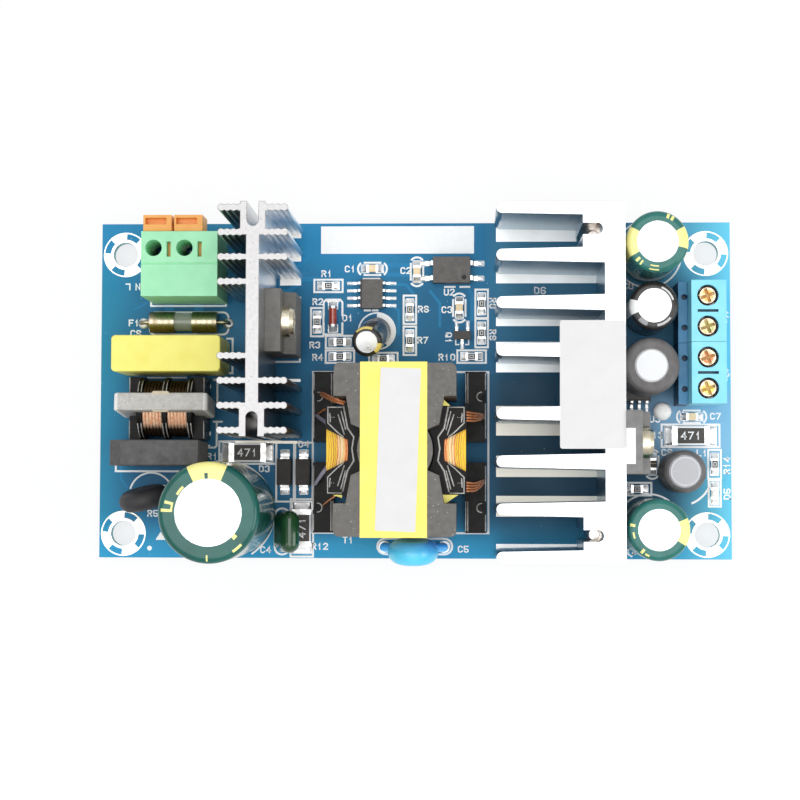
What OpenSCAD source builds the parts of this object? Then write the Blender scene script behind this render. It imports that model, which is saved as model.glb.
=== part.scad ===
// Open-frame switching power supply on one printed circuit board.
// Millimetres. The origin is the centre of the four mounting holes, on the board's underside.
// +X runs from the mains input to the output, +Y to the board's north edge, +Z up from the board.

/* [Board] */
// Length of the board along X
board_l = 107; // [107:1:130]
// Width of the board along Y
board_w = 57; // [57:1:70]
// Thickness of the board
board_t = 1.6; // [1:0.1:2.4]
// Diameter of the four mounting holes
hole_d = 4.2; // [3:0.1:4.6]
// Hole centre to the west and east edges
hole_edge_x = 4.1; // [3.5:0.1:6]
// Hole centre to the south edge
hole_edge_s = 4.1; // [3.5:0.1:6]
// Hole centre to the north edge
hole_edge_n = 5.3; // [4:0.1:7]
// How far trimmed leads stand out under the board
lead_below = 2.1; // [1.2:0.1:3]
// How far the heatsink pins stand out under the board
pin_below = 2.5; // [1.5:0.1:3.5]

/* [Input terminal] */
// Width of the housing along X
in_w = 12.6; // [12:0.1:13.2]
// Depth of the housing along Y
in_d = 10.7; // [10:0.1:12]
// Height of the housing
in_h = 13; // [12.5:0.1:15]
// Distance between the two poles
in_pitch = 5.1; // [5:0.05:5.2]
// Diameter of a wire hole
in_wire_d = 2.7; // [2.2:0.1:2.8]
// West edge of the board to the housing
in_edge_x = 9.05; // [8.5:0.05:10]
// North edge of the board to the housing
in_edge_n = 3.1; // [2.5:0.1:5]
// Width of a push button
button_w = 4.7; // [4.3:0.1:4.8]
// Height of a push button
button_h = 5.4; // [4.5:0.1:5.6]
// How far a push button stands out
button_out = 2.7; // [2.5:0.1:4]
// Travel of a push button
button_travel = 1; // [0.5:0.1:1]

/* [Fuse] */
// Diameter of the end caps
fuse_d = 3.6; // [3:0.1:5]
// Length over the end caps
fuse_l = 11.4; // [10:0.1:13]
// Length of one end cap
fuse_cap_l = 4.2; // [3:0.1:4.5]
// Distance between the two lead holes
fuse_span = 15; // [14:0.1:17]

/* [Mains capacitor] */
// Length of the box
xcap_l = 18; // [16:0.1:18.5]
// Width of the box
xcap_w = 6; // [5:0.1:7]
// Height of the box
xcap_h = 11.8; // [10:0.1:16]
// Distance between its leads
xcap_pitch = 15; // [10:0.5:15]

/* [Common-mode choke] */
// Length of the core over its two ends
choke_l = 15.4; // [14:0.1:16]
// Side of the square core limb
choke_limb = 2.9; // [2.5:0.1:3.4]
// Height of the core's top above the board
choke_h = 14; // [13:0.1:16]
// Diameter of the bobbin's cheeks
choke_cheek_d = 10.4; // [9:0.1:11]

/* [Bridge rectifier] */
// Length of the body
bridge_l = 15; // [14:0.1:15.5]
// Thickness of the body
bridge_t = 4.2; // [3.5:0.1:4.6]
// Height of the body
bridge_h = 11; // [9:0.1:13]

/* [Capacitors] */
// Diameter of the bulk capacitor
bulk_d = 16; // [14:0.1:16.4]
// Height of the bulk capacitor
bulk_h = 25; // [20:0.5:27]
// Diameter of the two output capacitors
out_cap_d = 10; // [8:0.1:10.2]
// Height of the two output capacitors
out_cap_h = 16; // [12:0.5:20]
// Diameter of the black output capacitor
mid_cap_d = 8; // [6.3:0.1:8.2]
// Height of the black output capacitor
mid_cap_h = 12; // [9:0.5:16]
// Diameter of the leaning controller capacitor
small_cap_d = 5; // [4:0.1:5.4]
// Height of the leaning controller capacitor
small_cap_h = 11; // [7:0.5:12]
// How far the controller capacitor leans
small_cap_lean = 15; // [0:1:16]
// Thickness of a capacitor's sleeve
sleeve_t = 0.25; // [0.15:0.05:0.4]

/* [Heatsinks] */
// Height of the primary heatsink
hs1_h = 26; // [20:0.5:27]
// Length of the primary heatsink along Y
hs1_l = 36.9; // [36:0.1:38]
// Thickness of the primary heatsink's spine
hs1_spine = 2.1; // [1.8:0.1:2.6]
// Length of a primary fin
hs1_fin = 4.5; // [3.5:0.1:4.8]
// Height of the secondary heatsink
hs2_h = 18; // [15:0.5:24]
// Length of the secondary heatsink along Y
hs2_l = 57.9; // [54:0.1:58.5]
// Thickness of the secondary heatsink's spine
hs2_spine = 3.3; // [2.5:0.1:3.6]
// Length of a secondary fin
hs2_fin = 17.3; // [14:0.1:17.5]
// Diameter of the pins that hold the heatsinks
pin_d = 1.7; // [1.4:0.1:1.8]

/* [Transformer] */
// Length of the core along Y
core_l = 27.2; // [26:0.1:27.5]
// Width of the core's ends along X
core_w = 19.2; // [18.6:0.1:20]
// Height of the closed core
core_h = 20.2; // [18:0.1:22]
// Diameter of the core's centre post
core_post_d = 11.8; // [11:0.1:12.2]
// Core's underside above the board
core_lift = 3.8; // [3:0.1:5]
// Width over the bobbin's pin rails
rail_w = 29; // [28:0.1:29.6]
// Width of the tape round the core
tape_w = 10.5; // [8:0.1:11]

/* [Output terminal] */
// Distance between the poles
out_pitch = 5.08; // [5:0.01:5.1]
// Depth of a block along X
out_d = 7.5; // [7.2:0.1:8.5]
// Height of a block
out_h = 10; // [10:0.1:12]
// East edge of the board to the blocks
out_edge = 2.1; // [1:0.1:3]
// Diameter of a screw's head
screw_d = 3; // [2.6:0.1:3.2]
// How far a screw lifts its clamp cage
cage_lift = 2; // [1:0.1:2]

/* [Hidden] */
$fn = 48;
top = board_t;
clr = 0.1;
fit = 0.05;
seat = 0.02;

// Board
span_x = board_l - 2 * hole_edge_x;
span_y = board_w - hole_edge_s - hole_edge_n;
bx0 = -board_l / 2;
bx1 = board_l / 2;
by0 = -span_y / 2 - hole_edge_s;
by1 = span_y / 2 + hole_edge_n;
lead_d = 0.8;
post_d = 1;

// Input terminal
in_x0 = bx0 + in_edge_x;
in_x1 = in_x0 + in_w;
in_y1 = by1 - in_edge_n;
in_y0 = in_y1 - in_d;
in_z1 = top + in_h;
in_first = 2.55;
in_cavity_h = 4.8;
in_wire_y = in_y1 - 2.75;
wire_side = 0.5;
blade_side = 2;
blade_t = 0.9;
blade_l = 4.3;
blade_h = 3.6;
button_rim = 0.7;
button_z1 = in_z1 - button_rim;
button_z0 = button_z1 - button_h;
function pole_x(p) = in_x0 + in_first + p * in_pitch;
in_pins = [for (p = [0, 1]) [pole_x(p), in_y0 + 4.2, post_d]];

// Fuse, between the input terminal and the mains capacitor
fuse_x = bx0 + 14.5;
fuse_y = in_y0 - 1.5 - fuse_d / 2;
fuse_z = top + 0.3 + fuse_d / 2;
fuse_lead_d = 0.7;
fuse_bend = 1;
fuse_pins = [for (s = [-1, 1]) [fuse_x + s * fuse_span / 2, fuse_y, fuse_lead_d]];

// Mains capacitor
xcap_x = bx0 + 13.1;
xcap_y = fuse_y - fuse_d / 2 - 1.2 - xcap_w / 2;
xcap_foot = 0.4;
xcap_foot_x = xcap_pitch / 2 - 2.2;
xcap_pins = [for (s = [-1, 1]) [xcap_x + s * xcap_pitch / 2, xcap_y, lead_d]];

// Common-mode choke
choke_x = bx0 + 12.6;
choke_y = xcap_y - xcap_w / 2 - 0.6 - choke_cheek_d / 2;
choke_axis = top + 0.3 + choke_cheek_d / 2;
choke_cheek = 0.7;
choke_lean = 5.5;
choke_span = choke_l - 2 * choke_limb - 0.6;
choke_wire = 0.55;
choke_pins = [for (s = [-1, 1], t = [-1, 1])
    [choke_x + s * (choke_span / 2 + 0.8), choke_y + t * (choke_cheek_d / 2 - 1.2), lead_d]];

// Bridge rectifier
bridge_x = bx0 + 11.3;
bridge_y = choke_y - choke_cheek_d / 2 - 0.2 - bridge_t / 2;
bridge_lift = 2;
bridge_pitch = 3.81;
bridge_pins = [for (k = [-1.5:1:1.5]) [bridge_x + k * bridge_pitch, bridge_y, lead_d]];

// Bulk capacitor
bulk_x = bx0 + 22.1;
bulk_y = min(by0 + bulk_d / 2, bridge_y - bridge_t / 2 + 0.5 - bulk_d / 2);
bulk_pins = [for (s = [-1, 1]) [bulk_x, bulk_y + s * 3.75, lead_d]];

// Thermistor
ntc_d = 8.4;
ntc_t = 3.4;
ntc_lean = 10;
ntc_turn = 12;
ntc_x = bx0 + 8.5;
ntc_y = bridge_y - bridge_t / 2 - 3 - ntc_t / 2;
ntc_lift = 1.6;
ntc_pins = [for (s = [-2.5, 2.5]) [ntc_x + s * cos(ntc_turn), ntc_y + s * sin(ntc_turn), lead_d]];

// Primary heatsink, east of the input column
column_x1 = max(in_x1, xcap_x + xcap_l / 2);
hs1_x = column_x1 + 1.3 + hs1_fin + hs1_spine / 2;
hs1_y = by1 - 18.7;
hs1_y0 = hs1_y - hs1_l / 2;
hs1_end = 4;
hs1_end_l = 4.9;
hs1_pitch = 3.88;
hs1_fin_t = 0.9;
hs1_bump = 0.58;
hs1_face = hs1_x + hs1_spine / 2;
hs1_slot = pin_d + 2 * fit;
hs1_slot_l = 3;
hs1_pins = [for (s = [-1, 1]) [hs1_x, hs1_y + s * (hs1_l / 2 - hs1_slot_l + 0.4), pin_d]];

// Transistor and rectifier packages
to_w = 10.2;
to_h = 15.9;
to_tab_t = 2.6;
to_body_t = 4.5;
to_body_h = 9.2;
to_lift = 2.5;
to_hole_d = 3.4;
to_hole_drop = 3.4;
to_pitch = 2.54;
to_lead_out = 2.4;
m3_d = 2.9;
m3_head_d = 5.2;
m3_head_h = 1.9;
fet_y = by1 - 18.2;
fet_pins = [for (k = [-1, 0, 1]) [hs1_face + to_lead_out, fet_y + k * to_pitch, lead_d]];

// Transformer, east of the primary heatsink
tr_x = hs1_face + hs1_fin + 2.2 + rail_w / 2;
tr_y = by0 + 17.9;
core_z0 = top + core_lift;
core_z1 = core_z0 + core_h;
core_zm = (core_z0 + core_z1) / 2;
core_plate = 4.2;
core_step_y = core_l / 2 - 5.2;
core_step_x = core_w / 2 - 1.9;
core_neck_x = core_w / 2 - 2.7;
core_neck_y = 4;
core_waist_x = core_post_d / 2 - 0.8;
core_waist_y = 3.2;
core_window_d = 22.7;
core_corner = 0.9;
bobbin_t = 0.9;
bobbin_wing_x = 11.2;
bobbin_wing_y = 7;
bobbin_notch_y = 3.4;
bobbin_notch_x = 7.6;
rail_h = 3.6;
rail_depth = rail_w / 2 - bobbin_wing_x + 0.2;
rail_gap = 3.4;
rail_l = core_l - 0.2;
winding_d = 22;
tape_t = 0.15;
tr_pin_y = [3.2, 7.01, 10.82];
tr_pins = [for (s = [-1, 1], t = [-1, 1], v = tr_pin_y)
    [tr_x + s * (rail_w / 2 - 1.6), tr_y + t * v, lead_d]];
leadout_d = 0.8;

// Safety disc capacitor and green film capacitor
ycap_d = 8.4;
ycap_t = 4;
ycap_lift = 2;
ycap_lean = 8;
ycap_pitch = 10;
ycap_leg_d = 1.5;
ycap_leg_z = 1;
ycap_x = tr_x + 2.4;
ycap_y = min(by0 + 2, tr_y - core_l / 2 - tape_t - 0.2 - ycap_t / 2);
ycap_pins = [for (s = [-1, 1]) [ycap_x + s * ycap_pitch / 2, ycap_y, lead_d]];
film_t = 3.2;
film_w = 7;
film_h = 7.2;
film_lift = 2;
film_lean = 20;
film_x = hs1_x + 2.3;
film_y = by0 + 4.6;
film_pins = [for (s = [-1, 1]) [film_x, film_y + s * 2.2, lead_d]];

// Controller parts, placed from the transformer and the north edge: [x, y, turn]
ctl_x = tr_x;
ctl_y = by1;
sop_l = 4.9;
sop_w = 3.8;
sop_h = 1.5;
sop_pitch = 1.27;
sop_reach = 1.2;
controller_at = [ctl_x - 4.9, ctl_y - 12.2, 0];
chip_l = 2;
chip_w = 1.25;
chip_h = 0.55;
chip_end = 0.4;
control_resistors = [
    [ctl_x - 12.3, ctl_y - 10.7, 0],
    [ctl_x - 14.2, ctl_y - 16.9, 90],
    [ctl_x - 10.3, ctl_y - 20.3, 0],
    [ctl_x - 10.3, ctl_y - 22.8, 0],
    [ctl_x - 2.9, ctl_y - 23.2, 0],
    [ctl_x + 1.6, ctl_y - 14.8, 90],
    [ctl_x + 1.6, ctl_y - 20.1, 90],
    [ctl_x + 13.8, ctl_y - 13.8, 90],
    [ctl_x + 13.8, ctl_y - 18.8, 90],
    [ctl_x + 12.1, ctl_y - 22.8, 0]
];
control_capacitors = [
    [ctl_x - 4.8, ctl_y - 7.8, 0],
    [ctl_x + 2.8, ctl_y - 8.3, 90],
    [ctl_x + 10, ctl_y - 14.5, 90]
];
opto_l = 6.3;
opto_w = 4.4;
opto_h = 2.1;
opto_reach = 1.3;
opto_at = [ctl_x + 8.7, ctl_y - 8.2];
ref_at = [ctl_x + 10.5, ctl_y - 19.2];
ref_l = 2.9;
ref_w = 1.4;
ref_h = 1;
glass_at = [ctl_x - 11.5, ctl_y - 16];
glass_l = 3.5;
glass_d = 1.5;
small_cap_x = ctl_x - 4.1;
small_cap_y = ctl_y - 18.6;
small_cap_turn = 22;
small_pins = [for (s = [-1, 1]) [small_cap_x + s, small_cap_y, 0.5]];

// Large chips beside the primary heatsink
power_l = 6.3;
power_w = 3.2;
power_end = 0.9;
power_h = 0.6;
sma_l = 4.4;
sma_w = 2.6;
sma_h = 2.2;
sma_reach = 0.9;
sense_at = [hs1_x - 3.7, hs1_y0 - 0.4 - power_w / 2, 0];
snub_at = [hs1_x + 5.6, by0 + 5.1, 90];
diodes = [[hs1_x + 2.7, hs1_y0 - 5.3], [hs1_x + 5.9, hs1_y0 - 5.3]];

// Secondary heatsink, east of the transformer
hs2_x0 = tr_x + rail_w / 2 + 1.45;
hs2_root = hs2_x0 + hs2_fin;
hs2_x1 = hs2_root + hs2_spine;
hs2_y = by1 - 28.1;
hs2_tip_t = 1.9;
hs2_root_t = 2.6;
hs2_mid_gap = 10.15;
hs2_pitch = (hs2_l - hs2_tip_t - hs2_mid_gap) / 6;
hs2_end = 3.5;
hs2_slot = pin_d + 2 * fit;
hs2_slot_y = hs2_l / 2 - hs2_pitch / 2 - 0.6;
hs2_pins = [for (s = [-1, 1]) [hs2_root - 1.2, hs2_y + s * hs2_slot_y, pin_d]];
rect_y = hs2_y - 9.6;
rect_pins = [for (k = [-1, 0, 1]) [hs2_x1 + to_lead_out, rect_y + k * to_pitch, lead_d]];

// Output capacitors and inductors, east of the secondary heatsink
out_cap_x = hs2_x1 + 0.4 + out_cap_d / 2;
out_cap_n = by1 - 0.4 - out_cap_d / 2;
out_cap_s = by0 + 0.3 + out_cap_d / 2;
mid_cap_x = hs2_x1 + 1.2 + mid_cap_d / 2;
mid_cap_y = out_cap_n - out_cap_d / 2 - 0.9 - mid_cap_d / 2;
coil_d = 9.2;
coil_h = 10.2;
coil_lift = 2.2;
coil_mouth = 5.5;
coil_x = hs2_x1 + 0.1 + coil_d / 2;
coil_y = mid_cap_y - mid_cap_d / 2 - 1.25 - coil_d / 2;
coil2_d = 7;
coil2_h = 9.5;
coil2_mouth = 5.4;
coil2_x = hs2_x1 + 10.4;
coil2_y = out_cap_s + out_cap_d / 2 + 0.9 + coil2_d / 2;
can_pins = [for (s = [-1, 1], c = [[out_cap_x, out_cap_n, 2.5], [out_cap_x, out_cap_s, 2.5],
    [mid_cap_x, mid_cap_y, 1.75], [coil_x, coil_y + 1, 2.5], [coil2_x, coil2_y, 2]])
    [c[0] + s * c[2], c[1], lead_d]];
regulator_at = [hs2_x1 + 3.2, coil_y - 3.3, 90];
edge_x = bx1 - 2.8;
led_at = [edge_x, by0 + 11.1, 90];
output_resistors = [
    [edge_x, by0 + 16, 90],
    [hs2_x1 + 3.4, by0 + 11.8, 0]
];
output_capacitors = [
    [edge_x - 3.8, by0 + 24, 0],
    [hs2_x1 + 6, by0 + 16, 90]
];
load_at = [edge_x - 4, by0 + 20.8, 0];

// Output terminal blocks
out_x1 = max(bx1 - out_edge, coil_x + coil_d / 2 + 0.2 + out_d);
out_x0 = out_x1 - out_d;
out_y0 = by0 + 25.8;
out_gap = 0.06;
out_z1 = top + out_h;
out_step = 1.8;
out_step_h = 3;
out_well_d = screw_d + 0.5;
out_screw_x = out_x1 - 3;
out_floor = 0.8;
out_wall = 0.4;
cage_w = out_pitch - 2 * out_wall - 2 * clr;
cage_d = 4.2;
cage_t = 0.6;
cage_h = 4.6;
cage_z0 = top + out_floor;
bar_t = 0.8;
bar_w = cage_w - 2 * cage_t - 2 * clr;
bar_z1 = cage_z0 + cage_h - cage_t - clr;
shank_d = 2.4;
head_z0 = cage_z0 + cage_h + cage_lift + 0.2;
head_h = out_z1 - head_z0 - 0.5;
out_entry_h = bar_z1 - bar_t - cage_z0 - cage_t;
function out_y(k) = out_y0 + (k + 0.5) * out_pitch;
out_pins = [for (k = [0:3]) [out_x0 + out_step - 0.4, out_y(k), post_d]];

plain_leads = concat(xcap_pins, choke_pins, bridge_pins, bulk_pins, ntc_pins, ycap_pins, film_pins,
    small_pins, can_pins);
all_sites = concat(in_pins, fuse_pins, plain_leads, fet_pins, rect_pins, hs1_pins, hs2_pins,
    tr_pins, out_pins);

// Shared shapes

// Box between two corners
module span(a, b) {
    translate(a)
        cube(b - a);
}

// Upright round rod
module rod(x, y, z0, z1, d) {
    translate([x, y, z0])
        cylinder(d = d, h = z1 - z0);
}

// Lead through the board, up to the height z1
module lead(site, z1, below = lead_below) {
    rod(site[0], site[1], -below, z1, site[2]);
}

// Rectangle with round corners
module round_rect(w, l, r) {
    square([w - 2 * r, l], center = true);
    square([w, l - 2 * r], center = true);
    for (s = [-1, 1], t = [-1, 1])
        translate([s * (w / 2 - r), t * (l / 2 - r)])
            circle(r);
}

// Disc with a fully round rim, standing on its rim with its axis along Y
module pill_disc(d, t) {
    translate([0, 0, d / 2])
        rotate([90, 0, 0])
            union() {
                cylinder(d = d - t, h = t, center = true);
                rotate_extrude()
                    translate([(d - t) / 2, 0])
                        circle(d = t);
            }
}

// Drawn can with a rounded top edge and a crimp near its foot
module can_form(d, h, edge, crimp) {
    difference() {
        union() {
            cylinder(d = d, h = h - edge);
            cylinder(d = d - 2 * edge, h = h);
            translate([0, 0, h - edge])
                rotate_extrude()
                    translate([d / 2 - edge, 0])
                        circle(edge);
        }
        translate([0, 0, crimp * 2.5])
            rotate_extrude()
                translate([d / 2 + crimp * 0.35, 0])
                    circle(crimp * 0.75);
    }
}

// Can of a capacitor whose sleeve has the outer diameter d
module can(d, h, edge) {
    difference() {
        can_form(d - 2 * sleeve_t - 2 * seat, h - sleeve_t, edge, d / 16);
        for (a = [0, 90])
            translate([0, 0, h - sleeve_t])
                rotate([0, 0, a + 45])
                    cube([d * 0.5, d * 0.03, d * 0.02], center = true);
    }
}

// Shrunk sleeve over a can, open over most of the top
module sleeve(d, h, edge, mouth) {
    difference() {
        can_form(d, h, edge + sleeve_t, d / 16);
        can_form(d - 2 * sleeve_t, h - sleeve_t, edge, d / 16);
        translate([0, 0, -1])
            cylinder(d = d - 2 * sleeve_t, h = 1.2);
        cylinder(d = mouth, h = h + 1);
    }
}

// Lead bent from horizontal down through the board, s is the side it leaves on
module bent_lead(x0, x1, y, z, d, r, s) {
    translate([min(x0, x1 - s * r), y, z])
        rotate([0, 90, 0])
            cylinder(d = d, h = abs(x1 - s * r - x0));
    translate([x1 - s * r, y, z - r])
        rotate([90, 0, s > 0 ? 0 : 180])
            rotate_extrude(angle = 90)
                translate([r, 0])
                    circle(d = d);
    rod(x1, y, -lead_below, z - r, d);
}

// Round rod between two points
module strand(a, b, d) {
    v = b - a;
    translate(a)
        rotate([0, acos(v[2] / norm(v)), atan2(v[1], v[0])])
            cylinder(d = d, h = norm(v), $fn = 24);
}

// Board
module pcb() {
    color("royalblue")
        difference() {
            span([bx0, by0, 0], [bx1, by1, board_t]);
            for (s = [-1, 1], t = [-1, 1])
                rod(s * span_x / 2, t * span_y / 2, -1, board_t + 1, hole_d);
            for (s = all_sites)
                rod(s[0], s[1], -1, board_t + 1, s[2] + 2 * clr);
        }
}

module solder_joints() {
    color("silver")
        for (s = all_sites)
            translate([s[0], s[1], -1.1])
                difference() {
                    cylinder(d1 = s[2] + 0.3, d2 = s[2] + 1.5, h = 1.1);
                    translate([0, 0, -1])
                        cylinder(d = s[2] + 2 * seat, h = 3);
                }
}

// Input spring terminal
module input_terminal_housing() {
    color("palegreen")
        difference() {
            span([in_x0, in_y0, top], [in_x1, in_y1, in_z1]);
            span([in_x0 - 1, in_y0 + in_d / 2 - 0.12, in_z1 - 0.2],
                [in_x1 + 1, in_y0 + in_d / 2 + 0.12, in_z1 + 1]);
            for (p = [0, 1]) {
                input_pole_cuts(p);
            }
        }
}

// Wire hole, button pocket, blade slot and contact cavity of one pole
module input_pole_cuts(p) {
    x = pole_x(p);
    wire_x = x - wire_side;
    blade_x = x + blade_side;
    rod(wire_x, in_wire_y, top + in_cavity_h - 1, in_z1 + 1, in_wire_d);
    span([x - button_w / 2 - clr, in_y1 - button_travel - 2 * clr, button_z0 - clr],
        [x + button_w / 2 + clr, in_y1 + 1, button_z1 + clr]);
    span([blade_x - blade_t / 2 - clr, in_y1 - blade_l - button_travel, button_z0 + 0.9 - clr],
        [blade_x + blade_t / 2 + clr, in_y1 + 1, button_z0 + 0.9 + blade_h + clr]);
    span([blade_x - 0.33, in_y1 - 4.2, button_z0 + 1], [blade_x + 0.33, in_y1 - 1.7, in_z1 + 1]);
    span([x - 2, in_y0 + 1, top - 1], [x + 2, in_y1 - 1, top + in_cavity_h]);
}

// Push button: a hollowed head outside the housing and a blade that opens the clamp
module input_button(p) {
    x = pole_x(p);
    blade_x = x + blade_side;
    head_y0 = in_y1 + clr;
    color("orange")
        difference() {
            union() {
                span([x - button_w / 2, head_y0, button_z0],
                    [x + button_w / 2, head_y0 + button_out, button_z1]);
                span([blade_x - blade_t / 2, in_y1 - blade_l + clr, button_z0 + 0.9],
                    [blade_x + blade_t / 2, head_y0 + 1, button_z0 + 0.9 + blade_h]);
            }
            span([x - button_w / 2 + 0.35, head_y0 + button_out - 1.55, button_z1 - 1.6],
                [x + button_w / 2 - 0.9, head_y0 + button_out - 0.5, button_z1 + 1]);
        }
}

module input_button_west() {
    input_button(0);
}

module input_button_east() {
    input_button(1);
}

module input_terminal_contacts() {
    color("gainsboro")
        for (s = in_pins) {
            lead(s, top);
            span([s[0] - 1.6, in_y0 + 1.4, top], [s[0] + 1.6, in_y1 - 1.6, top + 0.5]);
            span([s[0] - 1.6, in_y0 + 1.4, top], [s[0] + 1.6, in_y0 + 1.9, top + 4.2]);
        }
}

// Folded leaf springs that press the wire on the contact
module input_terminal_springs() {
    leaf = [[0, 0], [0, 3.4], [0.5, 3.9], [3.6, 1.2], [3.45, 1.02], [0.55, 3.5], [0.25, 3.25], [0.25, 0]];
    color("silver")
        for (s = in_pins)
            translate([s[0] + 1.4, in_y0 + 2, top + 0.5])
                rotate([90, 0, -90])
                    mirror([1, 0, 0])
                        linear_extrude(2.8)
                            polygon(leaf);
}

// Fuse
module fuse_glass() {
    color("lightcyan", 0.5)
        translate([fuse_x, fuse_y, fuse_z])
            rotate([0, 90, 0])
                difference() {
                    cylinder(d = fuse_d - 0.5 - 2 * seat, h = fuse_l - 1, center = true);
                    cylinder(d = fuse_d - 1.4, h = fuse_l, center = true);
                }
}

module fuse_caps() {
    color("silver")
        for (s = [-1, 1]) {
            translate([fuse_x + s * (fuse_l - fuse_cap_l) / 2, fuse_y, fuse_z])
                rotate([0, 90, 0])
                    difference() {
                        cylinder(d = fuse_d, h = fuse_cap_l, center = true);
                        translate([0, 0, -s * 0.5])
                            cylinder(d = fuse_d - 0.5, h = fuse_cap_l, center = true);
                    }
            bent_lead(fuse_x + s * fuse_l / 2, fuse_x + s * fuse_span / 2, fuse_y, fuse_z,
                fuse_lead_d, fuse_bend, s);
        }
}

module fuse_element() {
    color("silver")
        translate([fuse_x, fuse_y, fuse_z])
            rotate([0, 90, 0])
                cylinder(d = 0.25, h = fuse_l - 1, center = true);
}

// Mains capacitor: potted box on two feet
module mains_capacitor() {
    color("gold") {
        translate([xcap_x, xcap_y, top + xcap_foot])
            linear_extrude(xcap_h)
                round_rect(xcap_l, xcap_w, 0.7);
        for (s = [-1, 1])
            span([xcap_x + s * xcap_foot_x - 0.6, xcap_y - xcap_w / 2 + 0.8, top],
                [xcap_x + s * xcap_foot_x + 0.6, xcap_y + xcap_w / 2 - 0.8, top + xcap_foot + 0.1]);
    }
}

// Common-mode choke: its core leans over the bobbin's axis
module choke_leant() {
    translate([choke_x, choke_y, choke_axis])
        rotate([-choke_lean, 0, 0])
            children();
}

// Two U halves meet in the middle of both limbs
module choke_core() {
    color("silver")
        for (s = [-1, 1])
            choke_leant()
                translate([0, choke_limb / 2, 0])
                    rotate([90, 0, 0])
                        linear_extrude(choke_limb)
                            choke_half(s);
}

// Outline of one U, from the axis of the lower limb
module choke_half(s) {
    z0 = -choke_limb / 2;
    z1 = top + choke_h - choke_axis;
    r = 0.9;
    intersection() {
        difference() {
            translate([0, (z0 + z1) / 2])
                round_rect(choke_l, z1 - z0, r);
            translate([-choke_l / 2 + choke_limb, z0 + choke_limb])
                square([choke_l - 2 * choke_limb, z1 - z0 - 2 * choke_limb]);
        }
        translate([s > 0 ? 0 : -choke_l, z0 - 1])
            square([choke_l, z1 - z0 + 2]);
    }
}

// Bobbin: square tube, three cheeks and an end block with a slot for the core at each end
module choke_bobbin() {
    hole = choke_limb + 2 * clr;
    color("dimgray")
        difference() {
            union() {
                translate([choke_x - choke_span / 2, choke_y, choke_axis])
                    rotate([0, 90, 0])
                        cylinder(d = hole + 2, h = choke_span);
                for (k = [-1, 0, 1])
                    translate([choke_x + k * (choke_span - choke_cheek) / 2, choke_y, choke_axis])
                        rotate([0, 90, 0])
                            cylinder(d = choke_cheek_d, h = choke_cheek, center = true);
                for (x = [choke_x - choke_span / 2 - 0.8, choke_x + choke_span / 2 + 0.8])
                    span([x - 0.9, choke_y - choke_cheek_d / 2, top],
                        [x + 0.9, choke_y + choke_cheek_d / 2, choke_axis + 2]);
            }
            choke_leant() {
                cube([choke_l + 1, hole, hole], center = true);
                for (s = [-1, 1])
                    span([s * (choke_l / 2 + 1) - choke_limb - 1 - clr, -hole / 2, -hole / 2],
                        [s * (choke_l / 2 + 1) + choke_limb + 1 + clr, hole / 2, choke_h]);
            }
            for (s = choke_pins)
                lead([s[0], s[1], s[2] + 2 * seat], top + 1);
        }
}

// Each winding is a ridged ring, one ridge for each turn in its top layer
module choke_windings() {
    room = (choke_span - 3 * choke_cheek) / 2;
    turns = floor((room - 0.1) / choke_wire);
    inner = choke_limb / 2 + clr + 1 + seat;
    outer = choke_cheek_d / 2 - 0.5;
    color("chocolate")
        for (s = [-1, 1])
            translate([choke_x + s * (room + choke_cheek) / 2, choke_y, choke_axis])
                rotate([0, 90, 0])
                    rotate_extrude() {
                        translate([inner, -turns * choke_wire / 2])
                            square([outer - inner - choke_wire / 2, turns * choke_wire]);
                        for (k = [0:turns - 1])
                            translate([outer - choke_wire / 2, (k + 0.5 - turns / 2) * choke_wire])
                                circle(d = choke_wire);
                    }
}

// Bridge rectifier with its cut corner
module bridge_rectifier() {
    cut = 2;
    color("darkslategray")
        translate([bridge_x, bridge_y + bridge_t / 2, top + bridge_lift])
            rotate([90, 0, 0])
                linear_extrude(bridge_t)
                    polygon([[-bridge_l / 2, 0], [bridge_l / 2, 0], [bridge_l / 2, bridge_h],
                        [-bridge_l / 2 + cut, bridge_h], [-bridge_l / 2, bridge_h - cut]]);
}

module thermistor() {
    color("black")
        difference() {
            translate([ntc_x, ntc_y, top + ntc_lift])
                rotate([ntc_lean, 0, ntc_turn])
                    pill_disc(ntc_d, ntc_t);
            for (s = ntc_pins)
                lead([s[0], s[1], s[2] + 2 * seat], top + ntc_lift + 2.4);
        }
}

// Electrolytic capacitors
module bulk_capacitor_can() {
    color("whitesmoke")
        translate([bulk_x, bulk_y, top])
            can(bulk_d, bulk_h, 0.9);
}

module bulk_capacitor_sleeve() {
    color("seagreen")
        translate([bulk_x, bulk_y, top])
            sleeve(bulk_d, bulk_h, 0.9, bulk_d * 0.66);
}

module lean_small() {
    translate([small_cap_x, small_cap_y, top + 0.7])
        rotate([0, 0, -small_cap_turn])
            rotate([small_cap_lean, 0, 0])
                children();
}

module capacitor_cans() {
    color("whitesmoke") {
        for (y = [out_cap_n, out_cap_s])
            translate([out_cap_x, y, top])
                can(out_cap_d, out_cap_h, 0.7);
        translate([mid_cap_x, mid_cap_y, top])
            can(mid_cap_d, mid_cap_h, 0.6);
        lean_small()
            can(small_cap_d, small_cap_h, 0.4);
    }
}

module green_sleeves() {
    color("seagreen")
        for (y = [out_cap_n, out_cap_s])
            translate([out_cap_x, y, top])
                sleeve(out_cap_d, out_cap_h, 0.7, out_cap_d * 0.67);
}

module black_sleeves() {
    color("dimgray") {
        translate([mid_cap_x, mid_cap_y, top])
            sleeve(mid_cap_d, mid_cap_h, 0.6, mid_cap_d * 0.7);
        lean_small()
            sleeve(small_cap_d, small_cap_h, 0.4, small_cap_d * 0.72);
    }
}

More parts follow.
